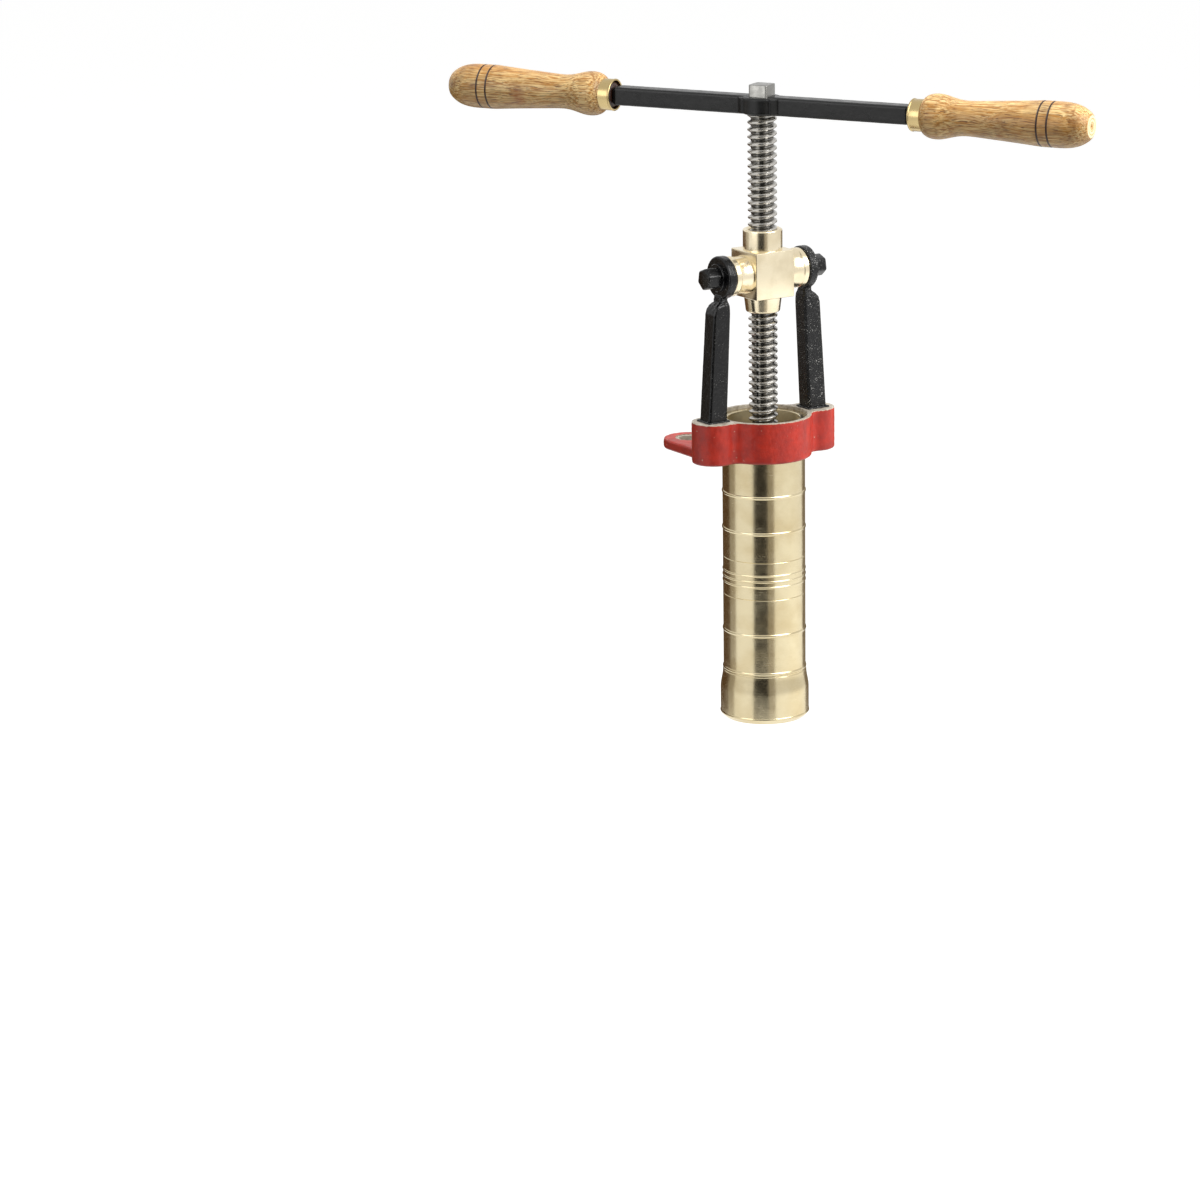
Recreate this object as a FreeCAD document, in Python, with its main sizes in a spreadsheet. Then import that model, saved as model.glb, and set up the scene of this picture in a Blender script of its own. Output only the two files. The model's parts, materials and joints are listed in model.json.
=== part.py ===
import FreeCAD, Part
import math
import os

import Sketcher
from FreeCAD import Vector

# Hand-cranked pasta extruder for the end of a bench.  Lengths are millimetres, angles degrees.
# The bench face is Z = 0.  +X runs along the collar and through both lug bolts, +Y runs over the
# bench, and the origin is midway between the two lug bolts.  The barrel stands at Y = -LugSetback.

doc = FreeCAD.newDocument("PastaExtruder")

DIMENSIONS = (
    # collar casting
    ("LugSetback", 49.5, "barrel axis to the line of the lug bolts"),
    ("LugReach", 29.0, "lug bolt from the middle of the collar"),
    ("LugRadius", 17.5, "round end of a lug"),
    ("LugThick", 7.0, "thickness of a lug"),
    ("LugBolt", 14.0, "bolt hole in a lug"),
    ("LugSpotFace", 19.0, "machined ring round the bolt hole"),
    ("SpotFaceDeep", 0.6, "depth of the machined ring"),
    ("CollarHigh", 28.7, "height of the collar"),
    ("CollarWall", 4.6, "collar wall round the barrel"),
    ("WingOut", 12.5, "middle of an arm's foot from the outside of the barrel"),
    ("WingRadius", 15.0, "round end of a wing"),
    ("WingFillet", 7.0, "hollow between a wing and the round middle"),
    # barrel and its beads
    ("BarrelOutside", 57.0, "outside diameter of the barrel"),
    ("BarrelBore", 50.0, "bore of the barrel"),
    ("BarrelTop", 26.6, "top face of the barrel above the bench"),
    ("BarrelEnd", 172.0, "lower face of the barrel below the bench"),
    ("FlangeOver", 3.6, "flange beyond the barrel, all round twice"),
    ("FlangeThick", 5.0, "thickness of the seating flange"),
    ("BeadProud", 0.55, "height of a turned bead"),
    ("BeadRound", 0.95, "section radius of a bead"),
    ("FineBeadRound", 0.6, "section radius of a fine bead"),
    ("FirstBead", 24.5, "first bead below the bench"),
    ("SecondBead", 50.0, "second bead below the bench"),
    ("FineBeads", 79.7, "first of three fine beads below the bench"),
    ("FineBeadPitch", 4.0, "spacing of the fine beads"),
    ("FourthBead", 122.3, "fourth bead below the bench"),
    ("FifthBead", 149.6, "fifth bead below the bench"),
    ("UpperScribe", 70.3, "upper scribed line below the bench"),
    ("LowerScribe", 96.7, "lower scribed line below the bench"),
    ("ScribeDeep", 0.35, "depth of a scribed line"),
    ("ScribeWide", 0.7, "width of a scribed line"),
    ("EndThread", 54.4, "diameter of the threaded end of the barrel"),
    # ring nut, die and gasket
    ("RingOutside", 62.0, "outside diameter of the ring nut"),
    ("RingTop", 151.6, "top face of the ring nut below the bench"),
    ("RingFlare", 9.5, "height of the flare of the ring nut"),
    ("RingLip", 4.0, "thickness of the lip under the die"),
    ("RingOpening", 46.0, "opening in the lip"),
    ("RingChamfer", 3.0, "chamfer at the foot of the ring nut"),
    ("RingRimUp", 3.7, "bead above the foot of the ring nut"),
    ("RingFit", 0.3, "clearance of the ring nut's thread"),
    ("DieThick", 8.0, "thickness of the die plate"),
    ("DieHole", 3.2, "hole that forms a strand"),
    ("DieHolePitch", 6.4, "spacing between the circles of holes"),
    ("DieShy", 0.35, "die edge inside the ring nut"),
    ("GasketThick", 1.0, "thickness of the gasket"),
    # screw, piston and its fixings
    ("ScrewMajor", 20.0, "outside diameter of the thread"),
    ("ScrewMinor", 15.4, "root diameter of the thread"),
    ("ScrewPitch", 5.0, "pitch of the thread"),
    ("ThreadCrest", 1.1, "flat at the crest of the thread"),
    ("ThreadRoot", 1.1, "flat at the root of the thread"),
    ("ShoulderUp", 235.9, "seat of the crank above the bench"),
    ("TangSquare", 14.0, "square tang across its flats"),
    ("TangLong", 20.4, "length of the square tang"),
    ("TangCorner", 1.6, "rounding of the tang's corners"),
    ("RelaxedLong", 2.5, "plain length of the screw at either end of the thread"),
    ("PistonTop", 70.0, "top face of the piston below the bench"),
    ("PistonHigh", 17.0, "height of the piston"),
    ("PistonShy", 0.5, "piston inside the bore, radially"),
    ("SealSection", 3.0, "section of a seal ring"),
    ("SealShy", 0.3, "seal ring inside the bore, radially"),
    ("SealFit", 0.05, "clearance of a seal ring in its groove"),
    ("SealInset", 4.5, "seal ring from either face of the piston"),
    ("PocketWide", 26.0, "pocket under the piston"),
    ("PocketDeep", 8.0, "depth of the pocket under the piston"),
    ("JournalWide", 12.0, "journal of the screw in the piston"),
    ("RunningFit", 0.1, "radial clearance of the journal"),
    ("ThrustThick", 2.0, "thickness of the thrust washer"),
    ("ThrustWide", 26.0, "diameter of the thrust washer"),
    ("RetainerWide", 22.0, "diameter of the retaining washer"),
    ("RetainerThick", 1.6, "thickness of the retaining washer"),
    ("RetainerPlay", 0.3, "end play of the piston on the screw"),
    ("BoltWide", 8.0, "shank of the retaining bolt"),
    ("BoltHead", 13.0, "head of the retaining bolt across its flats"),
    ("BoltHeadThick", 4.6, "head thickness of the retaining bolt"),
    ("BoltDeep", 18.0, "length of the retaining bolt in the screw"),
    # nut block and its trunnions
    ("PivotUp", 127.6, "trunnion axis above the bench"),
    ("NutLong", 31.0, "nut block along the trunnion axis"),
    ("NutWide", 31.0, "nut block across the trunnion axis"),
    ("NutHigh", 32.4, "height of the nut block"),
    ("NutEdge", 1.2, "rounding of the nut block"),
    ("UpperBoss", 27.0, "diameter of the boss above the block"),
    ("UpperBossHigh", 14.0, "height of the boss above the block"),
    ("LowerBoss", 26.0, "diameter of the boss under the block"),
    ("LowerBossHigh", 10.8, "height of the boss under the block"),
    ("ThreadFit", 0.3, "radial clearance of the nut on the screw"),
    ("TrunnionNeck", 25.4, "diameter of the neck of a trunnion"),
    ("TrunnionFlange", 27.4, "diameter of the flange of a trunnion"),
    ("TrunnionFlangeThick", 4.2, "thickness of the flange of a trunnion"),
    # arms
    ("EyeInside", 30.1, "inner face of an arm's eye from the screw axis"),
    ("EyeThick", 6.4, "thickness of an arm's eye"),
    ("EyeWide", 29.4, "diameter of an arm's eye"),
    ("EyeGap", 0.3, "trunnion flange to the arm's eye"),
    ("ArmFootLong", 13.8, "arm's foot along the collar"),
    ("ArmFootWide", 11.8, "arm's foot across the collar"),
    ("ArmMidUp", 104.0, "height of the arm's upper section"),
    ("ArmMidIn", 4.2, "arm's upper section inward of its foot"),
    ("ArmMidLong", 12.6, "arm's upper section along the collar"),
    ("ArmMidWide", 11.6, "arm's upper section across the collar"),
    ("ArmCorner", 2.2, "rounding along an arm"),
    ("TenonWide", 12.0, "round tenon under an arm"),
    ("TenonFit", 0.2, "clearance of a tenon"),
    ("FootPocketWide", 24.0, "pocket for the foot nut under a wing"),
    ("FootPocketDeep", 12.0, "depth of that pocket"),
    ("FootNut", 18.0, "foot nut across its flats"),
    ("FootNutThick", 8.0, "thickness of a foot nut"),
    ("FootWasher", 23.0, "diameter of a foot washer"),
    ("FootWasherThick", 2.0, "thickness of a foot washer"),
    # pivot bolts
    ("PivotShank", 10.0, "shank of a pivot bolt"),
    ("PivotFit", 0.15, "clearance of a pivot bolt"),
    ("PivotDeep", 10.0, "length of a pivot bolt in the nut block"),
    ("PivotHead", 15.6, "head diameter of a pivot bolt"),
    ("PivotHeadThick", 10.0, "head thickness of a pivot bolt"),
    ("PivotWasher", 19.0, "diameter of a pivot washer"),
    ("PivotWasherThick", 1.8, "thickness of a pivot washer"),
    # crank and grips
    ("CrankAngle", -60.0, "crank from the +X direction at rest"),
    ("BarHigh", 12.6, "height of the crank bar"),
    ("BarDeep", 12.6, "depth of the crank bar"),
    ("BarReach", 111.5, "ferrule from the screw axis"),
    ("BarEdge", 1.4, "rounding of the crank bar"),
    ("BarTaper", 4.0, "length of the taper before a ferrule"),
    ("HubWide", 27.0, "diameter of the crank's eye"),
    ("HubHigh", 11.8, "height of the crank's eye"),
    ("TangFit", 0.15, "clearance of the crank on the tang"),
    ("SpikeWide", 9.0, "spike of the crank inside a grip"),
    ("SpikeLong", 86.0, "length of the spike beyond the bar"),
    ("SpikeFit", 0.1, "clearance of the spike in the grip"),
    ("FerruleWide", 21.6, "outside diameter of a ferrule"),
    ("FerruleWall", 1.0, "wall of a ferrule"),
    ("FerruleLong", 9.0, "length of a ferrule"),
    ("FerruleLip", 0.5, "rolled edge of a ferrule"),
    ("FerruleFit", 0.1, "clearance of a ferrule on its grip"),
    ("GripLong", 119.0, "length of a grip beyond its ferrule"),
    ("GripBulb", 30.6, "diameter of the bulb beside the ferrule"),
    ("GripBulbAt", 7.5, "middle of the bulb from the ferrule"),
    ("GripWaist", 23.4, "diameter of the grip's waist"),
    ("GripWaistAt", 27.0, "waist from the ferrule"),
    ("GripSwell", 31.6, "diameter of the grip's swell"),
    ("GripSwellAt", 92.5, "swell from the ferrule"),
    ("GripTip", 16.0, "diameter of the parted end of the grip"),
    ("GripEndRound", 19.0, "rounding of the grip towards its parted end"),
)

sheet = doc.addObject("Spreadsheet::Sheet", "Sizes")
for row, (alias, number, meaning) in enumerate(DIMENSIONS, start=1):
    sheet.set(f"A{row}", alias)
    sheet.set(f"B{row}", str(number))
    sheet.set(f"C{row}", meaning)
    sheet.setAlias(f"B{row}", alias)
doc.recompute()


class Size:
    """A length that knows both its number and the expression that binds it to the sheet."""

    def __init__(self, text, number):
        self.text = text
        self.number = float(number)

    @staticmethod
    def of(other):
        return other if isinstance(other, Size) else Size(repr(other), other)

    def join(self, other, sign, number):
        return Size(f"({self.text} {sign} {Size.of(other).text})", number)

    def __add__(self, other):
        return self.join(other, "+", self.number + Size.of(other).number)

    def __sub__(self, other):
        return self.join(other, "-", self.number - Size.of(other).number)

    def __mul__(self, other):
        return self.join(other, "*", self.number * Size.of(other).number)

    def __truediv__(self, other):
        return self.join(other, "/", self.number / Size.of(other).number)

    def __neg__(self):
        return Size(f"(0 - {self.text})", -self.number)


class Sizes:
    """The sheet's cells by name, such as size.BarrelBore."""

    def __getattr__(self, alias):
        return Size(f"Sizes.{alias}", sheet.get(alias))


size = Sizes()
ZERO = Size("0", 0.0)
NEAR = 1e-6
SUB_PARTS = []


# ---------------------------------------------------------------- helpers

def new_body(label):
    """A PartDesign body that is one node."""
    body = doc.addObject("PartDesign::Body", "Body_" + label)
    body.Label = label
    SUB_PARTS.append(body)
    return body


def bind(thing, prop, value):
    """Tie one property of a document object to the sheet."""
    thing.setExpression(prop, Size.of(value).text)


def place(thing, x=ZERO, y=None, z=ZERO, turn=None):
    """Place a sub-part; without y it stands on the barrel axis."""
    bind(thing, "Placement.Base.x", x)
    bind(thing, "Placement.Base.y", -size.LugSetback if y is None else y)
    bind(thing, "Placement.Base.z", z)
    if turn is not None:
        thing.Placement.Rotation = FreeCAD.Rotation(Vector(0, 0, 1), turn.number)
        bind(thing, "Placement.Rotation.Angle", turn)


def sketch_on(body, name, role, lift=None):
    """A sketch on one of the body's own origin planes, lifted along the plane's normal."""
    sketch = body.newObject("Sketcher::SketchObject", body.Label + name)
    plane = [feature for feature in body.Origin.OriginFeatures if feature.Role == role][0]
    sketch.AttachmentSupport = [(plane, "")]
    sketch.MapMode = "FlatFace"
    if lift is not None:
        bind(sketch, "AttachmentOffset.Base.z", lift)
    return sketch


def pin(sketch, geometry, point, x, y):
    """Hold one point of a sketch at x, y."""
    for kind, value in (("DistanceX", Size.of(x)), ("DistanceY", Size.of(y))):
        index = sketch.addConstraint(
            Sketcher.Constraint(kind, -1, 1, geometry, point, value.number))
        sketch.setExpression(f"Constraints[{index}]", value.text)


def outline(sketch, corners):
    """A closed outline.  A corner is (x, y), or (x, y, bulge) when an arc leads to the next corner;
    the bulge is the arc's radius, and the arc swells to the right of its direction."""
    count = len(corners)
    first = sketch.GeometryCount
    for number, corner in enumerate(corners):
        x0, y0 = (Size.of(value).number for value in corner[:2])
        x1, y1 = (Size.of(value).number for value in corners[(number + 1) % count][:2])
        start, end = Vector(x0, y0, 0), Vector(x1, y1, 0)
        if len(corner) == 3:
            bulge = Size.of(corner[2]).number
            half = start.distanceToPoint(end) / 2
            rise = bulge - math.sqrt(bulge * bulge - half * half)
            right = Vector(y1 - y0, x0 - x1, 0).normalize() * rise
            sketch.addGeometry(Part.Arc(start, (start + end) / 2 + right, end), False)
        else:
            sketch.addGeometry(Part.LineSegment(start, end), False)
    ends = []
    for number, corner in enumerate(corners):
        swapped = False
        if len(corner) == 3:
            arc = sketch.Geometry[first + number]
            swapped = arc.StartPoint.distanceToPoint(
                Vector(Size.of(corner[0]).number, Size.of(corner[1]).number, 0)) > NEAR
        ends.append((2, 1) if swapped else (1, 2))
    for number in range(count):
        after = (number + 1) % count
        sketch.addConstraint(Sketcher.Constraint(
            "Coincident", first + number, ends[number][1], first + after, ends[after][0]))
    for number, corner in enumerate(corners):
        pin(sketch, first + number, ends[number][0], corner[0], corner[1])
        if len(corner) == 3:
            index = sketch.addConstraint(
                Sketcher.Constraint("Radius", first + number, corner[2].number))
            sketch.setExpression(f"Constraints[{index}]", corner[2].text)


def circle(sketch, x, y, diameter):
    """A circle whose centre and diameter are bound."""
    x, y, diameter = Size.of(x), Size.of(y), Size.of(diameter)
    geometry = sketch.addGeometry(
        Part.Circle(Vector(x.number, y.number, 0), Vector(0, 0, 1), diameter.number / 2), False)
    pin(sketch, geometry, 3, x, y)
    index = sketch.addConstraint(Sketcher.Constraint("Diameter", geometry, diameter.number))
    sketch.setExpression(f"Constraints[{index}]", diameter.text)


def rectangle(sketch, wide, deep):
    """A rectangle about the sketch's origin."""
    x, y = Size.of(wide) / 2, Size.of(deep) / 2
    outline(sketch, ((-x, -y), (x, -y), (x, y), (-x, y)))


def hexagon(sketch, flats):
    """A hexagon about the sketch's origin, by its width across the flats."""
    half = Size.of(flats) / 2
    corner = half * (2 / math.sqrt(3))
    outline(sketch, ((corner, ZERO), (corner / 2, half), (-(corner / 2), half),
                     (-corner, ZERO), (-(corner / 2), -half), (corner / 2, -half)))


def pad(body, name, sketch, length, both=False, down=False):
    feature = body.newObject("PartDesign::Pad", body.Label + name)
    feature.Profile = sketch
    bind(feature, "Length", length)
    feature.Midplane = both
    feature.Reversed = down
    return feature


def pocket(body, name, sketch, length=None, up=False, both=False):
    """A cut of the given length, or right through without one."""
    feature = body.newObject("PartDesign::Pocket", body.Label + name)
    feature.Profile = sketch
    if length is None:
        feature.Type = 1
    else:
        bind(feature, "Length", length)
    feature.Reversed = up
    feature.Midplane = both
    return feature


def spin(body, name, sketch, cut=False):
    """A full turn of a sketch about its vertical axis."""
    kind = "PartDesign::Groove" if cut else "PartDesign::Revolution"
    feature = body.newObject(kind, body.Label + name)
    feature.Profile = sketch
    feature.ReferenceAxis = (sketch, ["V_Axis"])
    feature.Angle = 360
    return feature


def mirror(body, name, features, role):
    """Mirror features in one of the body's own planes."""
    feature = body.newObject("PartDesign::Mirrored", body.Label + name)
    feature.Originals = features
    plane = [item for item in body.Origin.OriginFeatures if item.Role == role][0]
    feature.MirrorPlane = (plane, [""])
    body.Tip = feature
    return feature


def rounded(body, name, radius, wanted):
    """Round the edges of the body's tip that the test accepts."""
    doc.recompute()
    base = body.Tip
    edges = [f"Edge{number}" for number, edge in enumerate(base.Shape.Edges, start=1)
             if wanted(edge)]
    feature = body.newObject("PartDesign::Fillet", body.Label + name)
    feature.Base = (base, edges)
    bind(feature, "Radius", radius)
    return feature


def along(edge, direction):
    """Whether an edge is straight and runs in this direction."""
    if not isinstance(edge.Curve, Part.Line):
        return False
    return abs(abs(edge.Curve.Direction.dot(direction)) - 1) < NEAR


def ring_body(label, outside, inside, thick, **where):
    """A plain ring, such as a washer or a gasket."""
    body = new_body(label)
    face = sketch_on(body, "Face", "XY_Plane")
    circle(face, ZERO, ZERO, outside)
    circle(face, ZERO, ZERO, inside)
    pad(body, "Pad", face, thick)
    place(body, **where)
    return body


UP = Vector(0, 0, 1)
THROUGH = 2             # a hole through a piece is cut this many times as long as the piece is thick
FINE_BEADS = 3          # fine beads in a row on the barrel
HOLE_CIRCLES = 3        # circles of strand holes in the die, each with six holes more than the last
HOLES_IN_FIRST = 6
NECK_DROP = 0.42        # an arm meets its eye this share of the eye's width below the middle
NECK_WIDTH = 0.46       # and is this share of the eye's width there
BAR_NECK = 0.8          # the crank bar's depth at a ferrule, as a share of its full depth
screw_bore = size.ScrewMajor + size.ThreadFit * 2
barrel_seat = size.BarrelOutside + size.FlangeOver
wing_reach = size.BarrelOutside / 2 + size.WingOut
ring_bore = size.EndThread + size.RingFit * 2
ring_foot = size.BarrelEnd + size.GasketThick + size.DieThick + size.RingLip
piston_foot = size.PistonTop + size.PistonHigh
web_thick = size.PistonHigh - size.PocketDeep
screw_shoulder_down = size.PistonTop - size.ThrustThick
eye_middle = size.EyeInside + size.EyeThick / 2
trunnion_end = size.EyeInside - size.EyeGap
crank_middle_up = size.ShoulderUp + size.BarHigh / 2


# ---------------------------------------------------------------- collar

def mounting_collar():
    """Red cast collar: a round middle, two wings for the arms and two lugs that lie on the bench."""
    body = new_body("mounting_collar")
    middle = sketch_on(body, "Middle", "XY_Plane")
    circle(middle, ZERO, ZERO, size.BarrelOutside + size.CollarWall * 2)
    pad(body, "MiddlePad", middle, size.CollarHigh)
    for name, side in (("Left", -1), ("Right", 1)):
        end = sketch_on(body, name + "End", "XY_Plane")
        circle(end, wing_reach * side, ZERO, size.WingRadius * 2)
        pad(body, name + "EndPad", end, size.CollarHigh)
    rounded(body, "Hollows", size.WingFillet,
            lambda edge: along(edge, UP) and abs(edge.CenterOfMass.y) > size.WingFillet.number / 2)
    for name, side in (("Left", -1), ("Right", 1)):
        lug = sketch_on(body, name + "Lug", "XY_Plane")
        inner = size.LugReach * side - size.LugRadius
        outer = size.LugReach * side + size.LugRadius
        outline(lug, ((inner, ZERO), (outer, ZERO), (outer, size.LugSetback),
                      (inner, size.LugSetback)))
        pad(body, name + "LugPad", lug, size.LugThick)
        tongue = sketch_on(body, name + "LugEnd", "XY_Plane")
        circle(tongue, size.LugReach * side, size.LugSetback, size.LugRadius * 2)
        pad(body, name + "LugEndPad", tongue, size.LugThick)
    bore = sketch_on(body, "Bore", "XY_Plane")
    circle(bore, ZERO, ZERO, size.BarrelOutside)
    pocket(body, "BorePocket", bore, up=True)
    seat = sketch_on(body, "Seat", "XY_Plane", lift=size.BarrelTop - size.FlangeThick)
    circle(seat, ZERO, ZERO, barrel_seat)
    pocket(body, "SeatPocket", seat, up=True)
    for name, side in (("Left", -1), ("Right", 1)):
        bolt = sketch_on(body, name + "Bolt", "XY_Plane")
        circle(bolt, size.LugReach * side, size.LugSetback, size.LugBolt)
        pocket(body, name + "BoltPocket", bolt, size.LugThick, up=True)
        spot = sketch_on(body, name + "Spot", "XY_Plane", lift=size.LugThick - size.SpotFaceDeep)
        circle(spot, size.LugReach * side, size.LugSetback, size.LugSpotFace)
        pocket(body, name + "SpotPocket", spot, size.SpotFaceDeep, up=True)
        tenon = sketch_on(body, name + "Tenon", "XY_Plane")
        circle(tenon, wing_reach * side, ZERO, size.TenonWide + size.TenonFit * 2)
        pocket(body, name + "TenonPocket", tenon, up=True)
        nut_room = sketch_on(body, name + "NutRoom", "XY_Plane")
        circle(nut_room, wing_reach * side, ZERO, size.FootPocketWide)
        pocket(body, name + "NutRoomPocket", nut_room, size.FootPocketDeep, up=True)
    place(body)


# ---------------------------------------------------------------- barrel, ring nut, die

def barrel():
    """Turned brass barrel with a seating flange, five beads, two scribed lines and a threaded end."""
    body = new_body("barrel")
    bore, outside, flange = size.BarrelBore / 2, size.BarrelOutside / 2, barrel_seat / 2
    whole = size.BarrelEnd + size.BarrelTop
    thread_long = size.BarrelEnd - size.RingTop
    section = sketch_on(body, "Section", "XZ_Plane")
    outline(section, ((bore, ZERO), (size.EndThread / 2, ZERO), (size.EndThread / 2, thread_long),
                      (outside, thread_long), (outside, whole - size.FlangeThick),
                      (flange, whole - size.FlangeThick), (flange, whole), (bore, whole)))
    spin(body, "Turned", section)
    beads = sketch_on(body, "Beads", "XZ_Plane")
    for drop in (size.FirstBead, size.SecondBead, size.FourthBead, size.FifthBead):
        circle(beads, outside + size.BeadProud - size.BeadRound, size.BarrelEnd - drop,
               size.BeadRound * 2)
    for turn in range(FINE_BEADS):
        drop = size.FineBeads + size.FineBeadPitch * turn
        circle(beads, outside + size.BeadProud - size.FineBeadRound, size.BarrelEnd - drop,
               size.FineBeadRound * 2)
    spin(body, "TurnedBeads", beads)
    scribes = sketch_on(body, "Scribes", "XZ_Plane")
    for drop in (size.UpperScribe, size.LowerScribe):
        high = size.BarrelEnd - drop
        half = size.ScribeWide / 2
        outline(scribes, ((outside - size.ScribeDeep, high), (outside + half, high - half),
                          (outside + half, high + half)))
    spin(body, "ScribedLines", scribes, cut=True)
    place(body, z=-size.BarrelEnd)


def end_ring_nut():
    """Ring nut that holds the die against the end of the barrel."""
    body = new_body("end_ring_nut")
    whole = ring_foot - size.RingTop
    outside, bore, opening = size.RingOutside / 2, ring_bore / 2, size.RingOpening / 2
    section = sketch_on(body, "Section", "XZ_Plane")
    outline(section, ((opening, ZERO), (outside - size.RingChamfer, ZERO),
                      (outside, size.RingChamfer), (outside, whole - size.RingFlare),
                      (size.BarrelOutside / 2 + size.BeadProud, whole), (bore, whole),
                      (bore, size.RingLip), (opening, size.RingLip)))
    spin(body, "Turned", section)
    line = sketch_on(body, "RimLine", "XZ_Plane")
    half = size.ScribeWide / 2
    outline(line, ((outside - size.ScribeDeep, size.RingRimUp),
                   (outside + half, size.RingRimUp - half),
                   (outside + half, size.RingRimUp + half)))
    spin(body, "RimGroove", line, cut=True)
    place(body, z=-ring_foot)


def die_plate():
    """Bronze die: a central hole and three circles of holes that form round strands."""
    body = new_body("die_plate")
    face = sketch_on(body, "Face", "XY_Plane")
    circle(face, ZERO, ZERO, ring_bore - size.DieShy * 2)
    pad(body, "Disc", face, size.DieThick)
    centre = sketch_on(body, "Centre", "XY_Plane")
    circle(centre, ZERO, ZERO, size.DieHole)
    pocket(body, "CentreHole", centre, up=True)
    axis = [item for item in body.Origin.OriginFeatures if item.Role == "Z_Axis"][0]
    for number in range(1, HOLE_CIRCLES + 1):
        hole = sketch_on(body, f"Hole{number}", "XY_Plane")
        circle(hole, size.DieHolePitch * number, ZERO, size.DieHole)
        first = pocket(body, f"Strand{number}", hole, up=True)
        doc.recompute()
        circle_of = body.newObject("PartDesign::PolarPattern", f"StrandCircle{number}")
        circle_of.Originals = [first]
        circle_of.Axis = (axis, [""])
        circle_of.Angle = 360
        circle_of.Occurrences = HOLES_IN_FIRST * number
        body.Tip = circle_of
    place(body, z=-(size.BarrelEnd + size.GasketThick + size.DieThick))


# ---------------------------------------------------------------- screw and piston

def press_screw():
    """Forcing screw: square tang above, right-hand thread, journal for the piston below."""
    body = new_body("press_screw")
    shank_long = size.ShoulderUp + screw_shoulder_down
    journal_long = size.ThrustThick + web_thick + size.RetainerPlay
    rod = sketch_on(body, "Rod", "XY_Plane")
    circle(rod, ZERO, ZERO, size.ScrewMajor)
    pad(body, "RodPad", rod, shank_long)
    journal = sketch_on(body, "Journal", "XY_Plane")
    circle(journal, ZERO, ZERO, size.JournalWide)
    pad(body, "JournalPad", journal, journal_long, down=True)
    tang = sketch_on(body, "Tang", "XY_Plane", lift=shank_long)
    rectangle(tang, size.TangSquare, size.TangSquare)
    pad(body, "TangPad", tang, size.TangLong)
    rounded(body, "TangCorners", size.TangCorner, lambda edge: along(edge, UP))
    hole = sketch_on(body, "BoltHole", "XY_Plane", lift=-journal_long)
    circle(hole, ZERO, ZERO, size.BoltWide)
    pocket(body, "BoltHolePocket", hole, size.BoltDeep, up=True)
    groove = sketch_on(body, "ThreadForm", "XZ_Plane")
    crest, root = size.ScrewMajor / 2, size.ScrewMinor / 2
    root_half = size.ThreadRoot / 2
    crest_half = (size.ScrewPitch - size.ThreadCrest) / 2
    spare = size.ThreadCrest / 2
    start = size.RelaxedLong
    outline(groove, ((root, start - root_half), (crest, start - crest_half),
                     (crest + spare, start - crest_half), (crest + spare, start + crest_half),
                     (crest, start + crest_half), (root, start + root_half)))
    thread = body.newObject("PartDesign::SubtractiveHelix", "Thread")
    thread.Profile = groove
    thread.ReferenceAxis = (groove, ["V_Axis"])
    thread.Mode = 0
    bind(thread, "Pitch", size.ScrewPitch)
    bind(thread, "Height", shank_long - size.RelaxedLong * 2)
    place(body, z=-screw_shoulder_down, turn=size.CrankAngle)


def piston():
    """Piston that pushes the dough; the screw's journal turns in it."""
    body = new_body("piston")
    outside = size.BarrelBore / 2 - size.PistonShy
    journal = size.JournalWide / 2 + size.RunningFit
    room = size.PocketWide / 2
    section = sketch_on(body, "Section", "XZ_Plane")
    outline(section, ((room, ZERO), (outside, ZERO), (outside, size.PistonHigh),
                      (journal, size.PistonHigh), (journal, size.PocketDeep),
                      (room, size.PocketDeep)))
    spin(body, "Turned", section)
    grooves = sketch_on(body, "SealGrooves", "XZ_Plane")
    middle = size.BarrelBore / 2 - size.SealShy - size.SealSection / 2
    for high in (size.SealInset, size.PistonHigh - size.SealInset):
        circle(grooves, middle, high, size.SealSection + size.SealFit * 2)
    spin(body, "SealGroovesCut", grooves, cut=True)
    place(body, z=-piston_foot)


def piston_seal_rings():
    """Two round-section seal rings in the piston's grooves."""
    body = new_body("piston_seal_rings")
    section = sketch_on(body, "Section", "XZ_Plane")
    middle = size.BarrelBore / 2 - size.SealShy - size.SealSection / 2
    for high in (size.SealInset, size.PistonHigh - size.SealInset):
        circle(section, middle, high, size.SealSection)
    spin(body, "Rings", section)
    place(body, z=-piston_foot)


def piston_retaining_bolt():
    """Bolt in the end of the screw that lifts the piston on the way up."""
    body = new_body("piston_retaining_bolt")
    head = sketch_on(body, "Head", "XY_Plane")
    hexagon(head, size.BoltHead)
    pad(body, "HeadPad", head, size.BoltHeadThick)
    shank = sketch_on(body, "Shank", "XY_Plane", lift=size.BoltHeadThick)
    circle(shank, ZERO, ZERO, size.BoltWide)
    pad(body, "ShankPad", shank, size.RetainerThick + size.BoltDeep)
    low = piston_foot - size.PocketDeep + size.RetainerPlay + size.RetainerThick + size.BoltHeadThick
    place(body, z=-low, turn=size.CrankAngle)


# ---------------------------------------------------------------- nut block

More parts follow.
